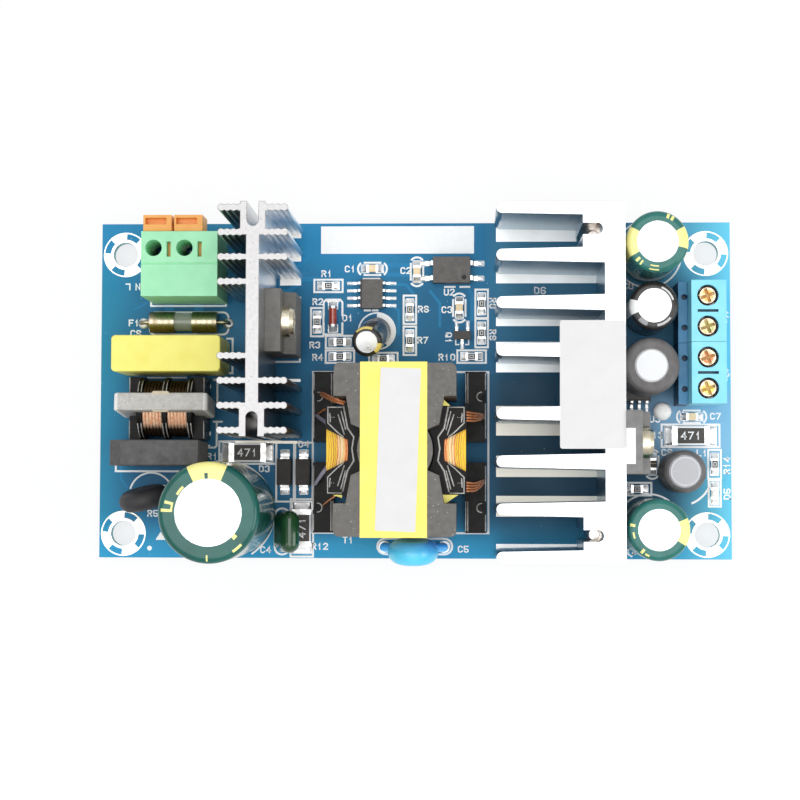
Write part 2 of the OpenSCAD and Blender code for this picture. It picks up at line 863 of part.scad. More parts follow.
// Drum-core inductors in shrink sleeves
module drum(d, h, mouth) {
    inner = d - 1.4;
    cylinder(d = inner, h = 1.4);
    cylinder(d = mouth - 0.5, h = h);
    translate([0, 0, h - 1.8])
        cylinder(d = inner, h = 1.4);
}

module shrink(d, h, mouth) {
    difference() {
        can_form(d, h, 1, 0.01);
        translate([0, 0, -1])
            cylinder(d = d - 1.4 + 2 * seat, h = h + 0.6);
        cylinder(d = mouth, h = h + 1);
    }
}

module inductor_cores() {
    color("gray") {
        translate([coil_x, coil_y, top + coil_lift])
            drum(coil_d, coil_h, coil_mouth);
        translate([coil2_x, coil2_y, top])
            drum(coil2_d, coil2_h, coil2_mouth);
    }
}

module inductor_sleeves() {
    color("dimgray") {
        translate([coil_x, coil_y, top + coil_lift])
            shrink(coil_d, coil_h, coil_mouth);
        translate([coil2_x, coil2_y, top])
            shrink(coil2_d, coil2_h, coil2_mouth);
    }
}

// Primary heatsink: fins with wavy sides both ways from a spine, a pin slot in each end
module primary_heatsink() {
    color("gainsboro")
        difference() {
            translate([hs1_x, hs1_y, top])
                linear_extrude(hs1_h)
                    difference() {
                        hs1_section();
                        for (s = [-1, 1]) {
                            translate([0, s * (hs1_l / 2 - hs1_slot_l)])
                                circle(d = hs1_slot);
                            translate([0, s * (hs1_l / 2 - hs1_slot_l / 2 + 0.5)])
                                square([hs1_slot, hs1_slot_l + 1], center = true);
                        }
                    }
            translate([hs1_x, fet_y, top + to_lift + to_h - to_hole_drop])
                rotate([0, 90, 0])
                    cylinder(d = m3_d + 2 * fit, h = hs1_spine + 2, center = true);
        }
}

module hs1_section() {
    square([hs1_spine, hs1_l], center = true);
    for (s = [-1, 1]) {
        translate([0, s * (hs1_l - hs1_end_l) / 2])
            square([hs1_end, hs1_end_l], center = true);
        for (k = [0:3])
            translate([-hs1_spine / 2, s * (hs1_l / 2 - 1 - k * hs1_pitch)])
                mirror([1, 0])
                    wavy_fin();
        for (k = [0:2])
            translate([hs1_spine / 2, s * (hs1_l / 2 - 1 - k * hs1_pitch)])
                wavy_fin();
    }
}

module wavy_fin() {
    bumps = 4;
    step = (hs1_fin - hs1_bump) / bumps;
    translate([-0.2, -hs1_fin_t / 2])
        square([hs1_fin + 0.2 - hs1_bump, hs1_fin_t]);
    for (k = [1:bumps])
        translate([k * step, 0])
            circle(hs1_bump);
}

// Secondary heatsink: eight tapered fins to the west, thick ends with pin slots
module secondary_heatsink() {
    color("gainsboro")
        difference() {
            translate([0, 0, top])
                linear_extrude(hs2_h)
                    hs2_section();
            translate([hs2_x1, rect_y, top + to_lift + to_h - to_hole_drop])
                rotate([0, 90, 0])
                    cylinder(d = m3_d + 2 * fit, h = 3 * hs2_spine, center = true);
        }
}

module hs2_section() {
    difference() {
        intersection() {
            union() {
                translate([hs2_root, hs2_y - hs2_l / 2])
                    square([hs2_spine, hs2_l]);
                for (s = [-1, 1]) {
                    translate([hs2_root - hs2_end / 2 + 0.1, hs2_y + s * (hs2_l / 2 - hs2_pitch / 2)])
                        square([hs2_end + 0.2, hs2_pitch], center = true);
                    for (k = [0:3])
                        translate([hs2_root, hs2_y + s * (hs2_mid_gap / 2 + k * hs2_pitch)])
                            taper_fin();
                }
            }
            translate([hs2_x0 - 1, hs2_y - hs2_l / 2])
                square([hs2_x1 - hs2_x0 + 2, hs2_l]);
        }
        for (s = [-1, 1]) {
            translate([hs2_root - 1.2, hs2_y + s * hs2_slot_y])
                circle(d = hs2_slot);
            translate([hs2_root - 1.2 - hs2_end, hs2_y + s * hs2_slot_y - hs2_slot / 2])
                square([hs2_end, hs2_slot]);
        }
    }
}

module taper_fin() {
    tip = hs2_tip_t / 2;
    polygon([[0.1, -hs2_root_t / 2], [0.1, hs2_root_t / 2], [-hs2_fin + tip, tip], [-hs2_fin + tip, -tip]]);
    translate([-hs2_fin + tip, 0])
        circle(tip);
}

module heatsink_pins() {
    color("silver")
        for (s = concat(hs1_pins, hs2_pins))
            lead(s, top + 9, pin_below);
}

// Screw package: a drilled tab over a thicker body, its back on the plane x = 0
module to_package() {
    drill_z = to_h - to_hole_drop;
    slope = 0.8;
    difference() {
        translate([0, to_w / 2, 0])
            rotate([90, 0, 0])
                linear_extrude(to_w)
                    polygon([[0, 0], [to_body_t, 0], [to_body_t, to_body_h], [to_tab_t, to_body_h + slope],
                        [to_tab_t, to_h], [0, to_h]]);
        translate([0, 0, drill_z])
            rotate([0, 90, 0])
                cylinder(d = to_hole_d, h = 4 * to_tab_t, center = true);
    }
}

module switch_transistor() {
    color("dimgray")
        translate([hs1_face, fet_y, top + to_lift])
            to_package();
}

module output_rectifier() {
    color("dimgray")
        translate([hs2_x1, rect_y, top + to_lift])
            to_package();
}

module transistor_leads() {
    color("silver")
        for (s = concat(fet_pins, rect_pins))
            lead(s, top + to_lift);
}

// Pan-head screws through the packages into the heatsinks
module heatsink_screws() {
    color("lightgoldenrodyellow")
        for (c = [[hs1_face, fet_y, hs1_spine], [hs2_x1, rect_y, hs2_spine]])
            translate([c[0] + to_tab_t, c[1], top + to_lift + to_h - to_hole_drop])
                rotate([0, 90, 0])
                    difference() {
                        union() {
                            translate([0, 0, -to_tab_t - c[2]])
                                cylinder(d = m3_d, h = to_tab_t + c[2]);
                            cylinder(d = m3_head_d, h = m3_head_h - 0.6);
                            cylinder(d1 = m3_head_d, d2 = m3_head_d - 1.2, h = m3_head_h);
                        }
                        for (a = [0, 90])
                            rotate([0, 0, a])
                                translate([0, 0, m3_head_h])
                                    cube([m3_head_d * 0.6, 0.7, 1.6], center = true);
                    }
}

// Transformer core: plan outline of one half
module core_outline() {
    quarter = [[-0.1, -0.1], [core_waist_x, -0.1], [core_waist_x, core_waist_y], [core_neck_x, core_neck_y],
        [core_step_x, core_step_y], [core_w / 2, core_step_y], [core_w / 2, core_l / 2], [-0.1, core_l / 2]];
    intersection() {
        for (s = [0, 1], t = [0, 1])
            mirror([s, 0])
                mirror([0, t])
                    polygon(quarter);
        round_rect(core_w, core_l, core_corner);
    }
    circle(d = core_post_d);
}

module core_half() {
    linear_extrude(core_plate)
        core_outline();
    linear_extrude(core_h / 2)
        circle(d = core_post_d);
    linear_extrude(core_h / 2)
        difference() {
            core_outline();
            circle(d = core_window_d);
        }
}

module transformer_core() {
    color("gray")
        translate([tr_x, tr_y, 0]) {
            translate([0, 0, core_z0])
                core_half();
            translate([0, 0, core_z1])
                mirror([0, 0, 1])
                    core_half();
        }
}

// Bobbin cheek with a wing on each side and a V notch that shows the winding
module bobbin_cheek(notched) {
    difference() {
        union() {
            circle(d = core_window_d - 0.6);
            square([2 * bobbin_wing_x, 2 * bobbin_wing_y], center = true);
        }
        circle(d = core_post_d + 0.4);
        if (notched)
            for (s = [0, 1])
                mirror([s, 0])
                    polygon([[bobbin_notch_x, -1.6], [bobbin_notch_x, 1.6],
                        [bobbin_wing_x + 1, bobbin_notch_y + 0.5], [bobbin_wing_x + 1, -bobbin_notch_y - 0.5]]);
    }
}

module transformer_bobbin() {
    z0 = core_z0 + core_plate + 0.1;
    z1 = core_z1 - core_plate;
    color("black")
        translate([tr_x, tr_y, 0]) {
            translate([0, 0, z0])
                linear_extrude(bobbin_t)
                    bobbin_cheek(false);
            translate([0, 0, z1 - bobbin_t])
                linear_extrude(bobbin_t)
                    bobbin_cheek(true);
            translate([0, 0, z0])
                difference() {
                    cylinder(d = core_post_d + 2, h = z1 - z0);
                    translate([0, 0, -1])
                        cylinder(d = core_post_d + 0.4, h = z1 - z0 + 2);
                }
            for (s = [0, 1], t = [0, 1])
                mirror([s, 0, 0])
                    mirror([0, t, 0])
                        pin_rail(z0 + bobbin_t);
        }
}

// Quarter of the bobbin's foot: a notched rail and the web that carries the cheek
module pin_rail(web_z1) {
    x1 = rail_w / 2;
    difference() {
        span([x1 - rail_depth, rail_gap / 2, top], [x1, rail_l / 2, top + rail_h]);
        for (k = [0, 1])
            rod(x1, (tr_pin_y[k] + tr_pin_y[k + 1]) / 2, top + rail_h - 1.6, top + rail_h + 1, 1.6);
        for (v = tr_pin_y)
            rod(x1 - 1.6, v, top - 1, top + 1.2, lead_d + 2 * seat);
    }
    span([bobbin_wing_x - 0.9, rail_gap / 2, top], [bobbin_wing_x, bobbin_wing_y, web_z1]);
}

module transformer_winding() {
    z0 = core_z0 + core_plate + 0.1 + bobbin_t;
    z1 = core_z1 - core_plate - bobbin_t;
    color("goldenrod")
        translate([tr_x, tr_y, z0])
            difference() {
                cylinder(d = winding_d, h = z1 - z0);
                translate([0, 0, -1])
                    cylinder(d = core_post_d + 2 + 2 * seat, h = z1 - z0 + 2);
            }
}

// One turn of tape along the core, over its top and under its foot
module transformer_tape() {
    color("yellow")
        translate([tr_x - tape_w / 2 - 0.2, tr_y, core_zm])
            rotate([90, 0, 90])
                linear_extrude(tape_w)
                    difference() {
                        square([core_l + 2 * tape_t, core_h + 2 * tape_t], center = true);
                        square([core_l, core_h], center = true);
                    }
}

module transformer_pins() {
    color("silver")
        for (s = tr_pins)
            lead(s, top + 1.2);
}

// Winding ends, laid from the winding down to the pin rails
module transformer_leadouts() {
    out_u = bobbin_wing_x + 0.2 + leadout_d / 2;
    end_u = rail_w / 2 - 0.9;
    end_z = top + rail_h + leadout_d / 2;
    color("peru")
        for (s = [-1, 1], v = [5.2, 6.1, -5.3, -6.2])
            translate([tr_x, tr_y, 0])
                strand([s * out_u, v, core_zm + 1], [s * end_u, v + sign(v) * 0.8, end_z], leadout_d);
}

// Disc and film capacitors
module safety_capacitor() {
    shoulder = top + ycap_lift + ycap_d / 3;
    color("deepskyblue")
        difference() {
            union() {
                translate([ycap_x, ycap_y, top + ycap_lift])
                    rotate([ycap_lean, 0, 0])
                        pill_disc(ycap_d, ycap_t);
                for (s = ycap_pins) {
                    strand([s[0], s[1], top + ycap_leg_z + 0.6], [ycap_x, s[1], shoulder], ycap_leg_d);
                    rod(s[0], s[1], top + ycap_leg_z, top + ycap_leg_z + 0.6, ycap_leg_d);
                    translate([s[0], s[1], top + ycap_leg_z + 0.6])
                        sphere(d = ycap_leg_d);
                }
            }
            for (s = ycap_pins)
                lead([s[0], s[1], s[2] + 2 * seat], top + ycap_leg_z + 0.6);
        }
}

module film_capacitor() {
    r = film_t / 2;
    color("green")
        difference() {
            translate([film_x, film_y, top + film_lift])
                rotate([0, film_lean, 0])
                    hull()
                        for (s = [-1, 1], z = [r, film_h - r])
                            translate([0, s * (film_w / 2 - r), z])
                                sphere(r, $fn = 24);
            for (s = film_pins)
                lead([s[0], s[1], s[2] + 2 * seat], top + film_lift + 1);
        }
}

module component_leads() {
    seats = concat([for (s = xcap_pins) top + xcap_foot], [for (s = choke_pins) top + 1],
        [for (s = bridge_pins) top + bridge_lift], [for (s = bulk_pins) top],
        [for (s = ntc_pins) top + ntc_lift + 2.4], [for (s = ycap_pins) top + ycap_leg_z + 0.6],
        [for (s = film_pins) top + film_lift + 1], [for (s = small_pins) top + 0.2],
        [for (s = [-1, 1], h = [0, 0, 0, coil_lift, 0]) top + h]);
    color("silver")
        for (k = [0:len(plain_leads) - 1])
            lead(plain_leads[k], seats[k]);
}

// Surface-mount parts: move a part to its place [x, y, turn] on the board
module on_board(at) {
    translate([at[0], at[1], top])
        rotate([0, 0, at[2]])
            children();
}

module sop_body() {
    translate([0, 0, 0.15 + sop_h / 2])
        difference() {
            cube([sop_w, sop_l, sop_h], center = true);
            translate([-sop_w / 2, 0, sop_h / 2])
                rotate([0, 45, 0])
                    cube([0.5, sop_l + 1, 0.5], center = true);
            translate([sop_w / 2 - 0.7, sop_l / 2 - 0.7, sop_h / 2])
                cylinder(d = 0.6, h = 0.2, center = true);
        }
}

// Gull-wing lead from a body edge at x = 0 outward, width w, shoulder height z
module gull_wing(reach, w, z) {
    t = 0.2;
    translate([0, w / 2, 0])
        rotate([90, 0, 0])
            linear_extrude(w)
                polygon([[0, z], [reach * 0.3, z], [reach * 0.5, t], [reach, t], [reach, 0],
                    [reach * 0.4, 0], [reach * 0.2, z - t], [0, z - t]]);
}

module sop_chips() {
    color("dimgray")
        for (at = [controller_at, regulator_at])
            on_board(at)
                sop_body();
}

module optocoupler() {
    color("dimgray")
        translate([opto_at[0], opto_at[1], top + 0.15 + opto_h / 2])
            difference() {
                cube([opto_l, opto_w, opto_h], center = true);
                translate([opto_l / 2 - 1.1, -opto_w / 2 + 1, opto_h / 2])
                    cylinder(d = 0.9, h = 0.3, center = true);
            }
}

module voltage_reference() {
    color("dimgray")
        translate([ref_at[0], ref_at[1], top + 0.1 + ref_h / 2])
            cube([ref_l, ref_w, ref_h], center = true);
}

module sma_body() {
    translate([0, sma_l / 2, 0.1])
        rotate([90, 0, 0])
            linear_extrude(sma_l)
                polygon([[-sma_w / 2 + 0.1, 0], [sma_w / 2 - 0.1, 0], [sma_w / 2, sma_h * 0.5],
                    [sma_w / 2 - 0.15, sma_h],
                    [-sma_w / 2 + 0.15, sma_h], [-sma_w / 2, sma_h * 0.5]]);
}

module power_diodes() {
    color("darkslategray")
        for (at = diodes)
            on_board([at[0], at[1], 0])
                sma_body();
}

module surface_leads() {
    color("silver") {
        for (at = [controller_at, regulator_at])
            on_board(at)
                for (s = [0, 180], k = [-1.5:1:1.5])
                    rotate([0, 0, s])
                        translate([sop_w / 2, k * sop_pitch, 0])
                            gull_wing(sop_reach, 0.42, 0.9);
        for (s = [0, 180], k = [-0.5, 0.5])
            on_board([opto_at[0], opto_at[1], s])
                translate([opto_l / 2, k * 2.54, 0])
                    gull_wing(opto_reach, 0.8, 1.2);
        for (c = [[90, -0.95], [90, 0.95], [270, 0]])
            on_board([ref_at[0], ref_at[1], c[0]])
                translate([ref_w / 2, c[1], 0])
                    gull_wing(0.7, 0.45, 0.6);
        for (at = diodes, s = [90, 270])
            on_board([at[0], at[1], s])
                translate([sma_l / 2, 0, 0])
                    gull_wing(sma_reach, 1.5, 1);
    }
}

// Leadless glass diode: a red bead between two metal ends
module glass_diode() {
    color("firebrick")
        translate([glass_at[0], glass_at[1], top + glass_d / 2])
            rotate([90, 0, 0])
                cylinder(d = glass_d - 0.15, h = glass_l - 2 * chip_end, center = true);
}

module chip_body(l, w, h, end) {
    translate([0, 0, h / 2 + 0.05])
        cube([l - 2 * end, w - 0.04, h - 0.06], center = true);
}

module chip_ends(l, w, h, end) {
    for (s = [-1, 1])
        translate([s * (l - end) / 2, 0, h / 2])
            cube([end, w, h], center = true);
}

module chip_resistors() {
    color("black") {
        for (at = concat(control_resistors, output_resistors))
            on_board(at)
                chip_body(chip_l, chip_w, chip_h, chip_end);
        for (at = [sense_at, snub_at, load_at])
            on_board(at)
                chip_body(power_l, power_w, power_h, power_end);
    }
}

module chip_capacitors() {
    color("burlywood")
        for (at = concat(control_capacitors, output_capacitors))
            on_board(at)
                chip_body(chip_l, chip_w, 0.9, chip_end);
}

module chip_terminations() {
    color("silver") {
        for (at = concat(control_resistors, output_resistors, [led_at]))
            on_board(at)
                chip_ends(chip_l, chip_w, chip_h, chip_end);
        for (at = concat(control_capacitors, output_capacitors))
            on_board(at)
                chip_ends(chip_l, chip_w, 0.92, chip_end);
        for (at = [sense_at, snub_at, load_at])
            on_board(at)
                chip_ends(power_l, power_w, power_h + 0.05, power_end);
        for (s = [-1, 1])
            translate([glass_at[0], glass_at[1] + s * (glass_l - chip_end) / 2, top + glass_d / 2])
                rotate([90, 0, 0])
                    cylinder(d = glass_d, h = chip_end, center = true);
    }
}

module indicator_led() {
    color("white")
        on_board(led_at) {
            chip_body(chip_l, chip_w, chip_h, chip_end);
            translate([0, 0, chip_h - 0.05])
                cylinder(d1 = 1.1, d2 = 0.9, h = 0.35);
        }
}

// Output terminal: block of two poles with a stepped back, screw wells and wire entries
module output_block(first) {
    y0 = out_y0 + first * out_pitch;
    y1 = y0 + 2 * out_pitch - out_gap;
    color("deepskyblue")
        difference() {
            translate([0, y1, 0])
                rotate([90, 0, 0])
                    linear_extrude(y1 - y0)
                        polygon([[out_x0, top], [out_x1, top], [out_x1, out_z1], [out_x0 + out_step, out_z1],
                            [out_x0 + out_step - 0.3, out_z1 - out_step_h], [out_x0, out_z1 - out_step_h]]);
            for (k = [first, first + 1])
                output_pole_cuts(k);
            span([out_screw_x - 1.7, y0 + out_pitch - 0.25, out_z1 - 1.2],
                [out_screw_x + 1.7, y0 + out_pitch + 0.2, out_z1 + 1]);
        }
}

// Screw well, cage chamber, wire entry and contact slot of one pole
module output_pole_cuts(k) {
    y = out_y(k) - out_gap / 2;
    half = cage_w / 2 + clr;
    rod(out_screw_x, y, cage_z0, out_z1 + 1, out_well_d);
    span([out_screw_x - cage_d / 2 - clr, y - half, cage_z0 - clr],
        [out_screw_x + cage_d / 2 + clr, y + half, cage_z0 + cage_h + cage_lift + clr]);
    span([out_screw_x, y - bar_w / 2, cage_z0 + cage_t], [out_x1 + 1, y + bar_w / 2, bar_z1 - bar_t]);
    span([out_x0 + out_step - 1.1, y - bar_w / 2 - clr, top - 1],
        [out_screw_x, y + bar_w / 2 + clr, bar_z1 + clr]);
    rod(out_x0 + out_step - 0.8, y, out_z1 - out_step_h - 1.5, out_z1 - 0.2, 1);
}

module output_terminal_south() {
    output_block(0);
}

module output_terminal_north() {
    output_block(2);
}

// Clamp screw: slotted head held in the well, shank down to the contact bar
module terminal_screw(k) {
    color("goldenrod")
        translate([out_screw_x, out_y(k) - out_gap / 2, 0])
            difference() {
                union() {
                    translate([0, 0, bar_z1 + clr])
                        cylinder(d = shank_d, h = head_z0 - bar_z1 - clr + 0.1);
                    translate([0, 0, head_z0])
                        cylinder(d = screw_d, h = head_h);
                }
                for (a = [20, 110])
                    rotate([0, 0, a])
                        translate([0, 0, head_z0 + head_h])
                            cube([screw_d * 0.8, 0.55, 1.2], center = true);
            }
}

module terminal_screw_1() {
    terminal_screw(0);
}

module terminal_screw_2() {
    terminal_screw(1);
}

module terminal_screw_3() {
    terminal_screw(2);
}

module terminal_screw_4() {
    terminal_screw(3);
}

// Clamp cage: a square ring that the screw draws up against the contact bar
module clamp_cage(k) {
    color("silver")
        translate([out_screw_x, out_y(k) - out_gap / 2, cage_z0])
            difference() {
                translate([-cage_d / 2, -cage_w / 2, 0])
                    cube([cage_d, cage_w, cage_h]);
                translate([-cage_d, -cage_w / 2 + cage_t, cage_t])
                    cube([2 * cage_d, cage_w - 2 * cage_t, cage_h - 2 * cage_t]);
                cylinder(d = shank_d + 2 * fit, h = 2 * cage_h);
            }
}

module clamp_cage_1() {
    clamp_cage(0);
}

module clamp_cage_2() {
    clamp_cage(1);
}

module clamp_cage_3() {
    clamp_cage(2);
}

module clamp_cage_4() {
    clamp_cage(3);
}

// Contact bars through the cages, each with a pin behind its cage
module output_terminal_contacts() {
    color("gainsboro")
        for (s = out_pins) {
            y = s[1] - out_gap / 2;
            span([s[0] - 0.5, y - bar_w / 2, bar_z1 - bar_t],
                [out_screw_x + cage_d / 2, y + bar_w / 2, bar_z1]);
            rod(s[0], s[1], -lead_below, bar_z1 - bar_t / 2, s[2]);
        }
}

pcb();
input_terminal_housing();
input_button_west();
input_button_east();
input_terminal_contacts();
input_terminal_springs();
fuse_glass();
fuse_caps();
fuse_element();
mains_capacitor();
choke_core();
choke_bobbin();
choke_windings();
bridge_rectifier();
thermistor();
bulk_capacitor_can();
bulk_capacitor_sleeve();
primary_heatsink();
heatsink_pins();
switch_transistor();
output_rectifier();
transistor_leads();
heatsink_screws();
transformer_core();
transformer_bobbin();
transformer_winding();
transformer_tape();
transformer_pins();
transformer_leadouts();
safety_capacitor();
film_capacitor();
component_leads();
sop_chips();
optocoupler();
voltage_reference();
surface_leads();
glass_diode();
chip_resistors();
chip_capacitors();
chip_terminations();
power_diodes();
indicator_led();
secondary_heatsink();
capacitor_cans();
green_sleeves();
black_sleeves();
inductor_cores();
inductor_sleeves();
output_terminal_north();
output_terminal_south();
terminal_screw_1();
terminal_screw_2();
terminal_screw_3();
terminal_screw_4();
clamp_cage_1();
clamp_cage_2();
clamp_cage_3();
clamp_cage_4();
output_terminal_contacts();
solder_joints();
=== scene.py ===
import math
from functools import reduce

import bpy
from mathutils import Euler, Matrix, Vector


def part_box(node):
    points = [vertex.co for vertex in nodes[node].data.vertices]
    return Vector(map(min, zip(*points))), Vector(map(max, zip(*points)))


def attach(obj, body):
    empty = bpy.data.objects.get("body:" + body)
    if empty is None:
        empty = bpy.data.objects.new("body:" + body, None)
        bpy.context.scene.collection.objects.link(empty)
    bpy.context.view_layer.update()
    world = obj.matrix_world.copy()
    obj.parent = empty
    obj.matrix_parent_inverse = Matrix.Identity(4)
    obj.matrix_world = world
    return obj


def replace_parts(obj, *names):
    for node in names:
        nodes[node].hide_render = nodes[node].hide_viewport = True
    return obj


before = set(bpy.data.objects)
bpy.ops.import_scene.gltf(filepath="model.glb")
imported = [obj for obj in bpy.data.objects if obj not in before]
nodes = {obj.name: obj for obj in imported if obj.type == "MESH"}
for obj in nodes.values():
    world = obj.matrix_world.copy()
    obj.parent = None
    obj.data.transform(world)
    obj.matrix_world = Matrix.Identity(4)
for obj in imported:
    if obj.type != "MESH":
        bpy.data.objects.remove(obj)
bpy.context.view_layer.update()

MM = 0.001
TOP = 1.6  # upper face of the board, mm
INK = 0.03  # thickness of printed ink, mm
LINE = 0.33  # width of printed lines, mm
BOW = 0.04  # bow of the winding, mm for each square mm
FAR = 999.0  # open end of a block, mm

# Upright axes of round parts, and the middles of the choke and the transformer, in mm
BULK = (-31.4, -19.9)
OUT_N = (39.65, 23.7)
OUT_S = (39.65, -22.6)
BLACK = (39.45, 13.8)
SMALL = (-7.5, 7.8)
COIL_2 = (44.65, -13.2)
CHOKE = (-40.9, -2.8)
TR = (-2.3, -10.0)
SCREW_X = 48.4


# Materials

def linear(rgb):
    """Linear colour of an 8-bit sRGB one."""
    def channel(v):
        v /= 255
        return v / 12.92 if v <= 0.04045 else ((v + 0.055) / 1.055) ** 2.4
    return tuple(channel(v) for v in rgb) + (1.0,)


class Nodes:
    """The shader nodes of a material or world. A mask is a value that is 1 where it holds and 0 elsewhere."""

    def __init__(self, tree):
        self.tree = tree

    def wire(self, value, socket):
        """Sets a socket to a constant, or links an output to it."""
        if isinstance(value, (int, float, tuple)):
            socket.default_value = value
        else:
            self.tree.links.new(value, socket)

    def feed(self, node, **sockets):
        for name, value in sockets.items():
            self.wire(value, node.inputs[name.replace("_", " ")])
        return node

    def add(self, kind, **sockets):
        return self.feed(self.tree.nodes.new(kind), **sockets)

    def calc(self, operation, *values):
        node = self.add("ShaderNodeMath")
        node.operation = operation
        for value, socket in zip(values, node.inputs):
            self.wire(value, socket)
        return node.outputs[0]

    def both(self, *masks):
        return reduce(lambda a, b: self.calc("MULTIPLY", a, b), masks)

    def either(self, *masks):
        return reduce(lambda a, b: self.calc("MAXIMUM", a, b), masks)

    def within(self, value, low, high):
        return self.both(self.calc("GREATER_THAN", value, low), self.calc("LESS_THAN", value, high))

    def span(self, value, low, high, start=0.3, end=0.7):
        """Slides from low to high while the value goes from start to end."""
        node = self.add("ShaderNodeMapRange", Value=value, From_Min=start, From_Max=end,
                        To_Min=low, To_Max=high)
        return node.outputs[0]

    def blend(self, share, first, second, end):
        """Leads a mix of two shaders, with that share of the second, to the end node."""
        node = self.add("ShaderNodeMixShader", Fac=share)
        self.wire(first.outputs[0], node.inputs[1])
        self.wire(second.outputs[0], node.inputs[2])
        self.wire(node.outputs[0], self.tree.nodes[end].inputs["Surface"])


class Look(Nodes):
    """A node material whose textures lie in the frame's own coordinates."""

    def __init__(self, name, rgb, rough=0.5, metal=0.0, **sockets):
        self.material = bpy.data.materials.new(name)
        self.material.use_nodes = True
        super().__init__(self.material.node_tree)
        self.shader = self.tree.nodes["Principled BSDF"]
        self.rgb = rgb
        plain = {"Base_Color": linear(rgb), "Roughness": rough, "Metallic": metal}
        self.feed(self.shader, **{**plain, **sockets})
        self.place = self.add("ShaderNodeTexCoord").outputs["Object"]
        self.colour = None
        self.normal = None

    def axis(self, name):
        """The frame's x, y or z in millimetres."""
        node = self.add("ShaderNodeSeparateXYZ", Vector=self.place)
        return self.calc("MULTIPLY", node.outputs[name.upper()], 1 / MM)

    def block(self, **limits):
        """Mask of a block: for each axis named, its two limits in mm."""
        return self.both(*(self.within(self.axis(name), *ends) for name, ends in limits.items()))

    def steps(self, centre):
        """Steps along x and y from an upright axis, in mm."""
        return [self.calc("SUBTRACT", self.axis(name), c) for name, c in zip("xy", centre)]

    def noise(self, size, detail=2.0, stretch=(1, 1, 1)):
        """Noise with blotches of about that size in mm, drawn out along an axis by a stretch below 1."""
        place = self.add("ShaderNodeMapping", Scale=stretch, Vector=self.place).outputs[0]
        node = self.add("ShaderNodeTexNoise", Scale=1 / (size * MM), Detail=detail, Vector=place)
        return node.outputs["Fac"]

    def upright(self):
        """Mask of the faces that stand up."""
        normal = self.add("ShaderNodeNewGeometry").outputs["Normal"]
        rise = self.add("ShaderNodeSeparateXYZ", Vector=normal).outputs["Z"]
        return self.calc("LESS_THAN", self.calc("ABSOLUTE", rise), 0.5)

    def wedge(self, centre, heading, half, near=0.0, far=9.0):
        """Mask of a ring sector about an upright axis: heading and half angle in degrees, radii in mm."""
        dx, dy = self.steps(centre)
        square = self.calc("ADD", self.calc("MULTIPLY", dx, dx), self.calc("MULTIPLY", dy, dy))
        reach = self.calc("SQRT", square)
        a = math.radians(heading)
        along = self.calc("ADD", self.calc("MULTIPLY", dx, math.cos(a)),
                          self.calc("MULTIPLY", dy, math.sin(a)))
        inside = self.calc("GREATER_THAN", self.calc("DIVIDE", along, reach), math.cos(math.radians(half)))
        return self.both(inside, self.within(reach, near, far))

    def ring(self, centre, far, near=0.0):
        """Mask of such a ring, whole but for a hair's breadth at the west."""
        return self.wedge(centre, 0, 179, near, far)

    def tint(self, rgb, *masks, **spans):
        """Paints a colour where the masks are 1. Along each axis named it slides between two strengths, from
        one place in mm to another."""
        masks += tuple(self.span(self.axis(name), *ends) for name, ends in spans.items())
        node = self.add("ShaderNodeMix")
        node.data_type = "RGBA"
        self.wire(self.both(*masks), node.inputs[0])
        self.wire(self.colour or linear(self.rgb), node.inputs[6])
        self.wire(linear(rgb), node.inputs[7])
        self.colour = node.outputs[2]
        self.feed(self.shader, Base_Color=self.colour)

    def mottle(self, rgb, size, amount=1.0, detail=3.0, stretch=(1, 1, 1)):
        self.tint(rgb, self.span(self.noise(size, detail, stretch), 0.0, amount))

    def speckle(self, rgb, size, share):
        """Scattered dots: one in each cell of that size in mm, filling a share of its width."""
        node = self.add("ShaderNodeTexVoronoi", Scale=1 / (size * MM), Vector=self.place)
        self.tint(rgb, self.calc("LESS_THAN", node.outputs["Distance"], share))

    def polish(self, low, high, size, stretch=(1, 1, 1)):
        """Roughness that wanders between two values."""
        self.feed(self.shader, Roughness=self.span(self.noise(size, 3.0, stretch), low, high))

    def relief(self, height, depth):
        """Bump of that depth in mm, on top of any bump that is there."""
        node = self.add("ShaderNodeBump", Distance=depth * MM, Height=height)
        if self.normal:
            self.wire(self.normal, node.inputs["Normal"])
        self.normal = node.outputs[0]
        self.feed(self.shader, Normal=self.normal)

    def grain(self, size, depth, stretch=(1, 1, 1)):
        self.relief(self.noise(size, 2.0, stretch), depth)


def coat(name, rgb, other, rough, size, amount, grain, depth, **sockets):
    """Even surface with two near tones and a fine grain."""
    look = Look(name, rgb, rough, **sockets)
    look.mottle(other, size, amount)
    look.grain(grain, depth)
    return look


def plastic(name, rgb, other, rough=0.4, size=3.0, depth=0.006, grain=0.25, **sockets):
    """Moulded plastic: faint flow marks, an even fine grain."""
    look = coat(name, rgb, other, rough, size, 0.8, grain, depth, **sockets)
    look.polish(rough - 0.07, rough + 0.1, size / 2)
    return look


def metal(name, rgb, other, rough=0.3, size=1.2, stretch=(1, 1, 1), depth=0.004, grain=0.12):
    """Bare metal: clouded tone, uneven polish, fine drawn marks along the stretch."""
    look = Look(name, rgb, rough, 1.0)
    look.mottle(other, size, 0.9, 3.0, stretch)
    look.polish(max(rough - 0.12, 0.05), rough + 0.14, size, stretch)
    look.grain(grain, depth, stretch)
    return look


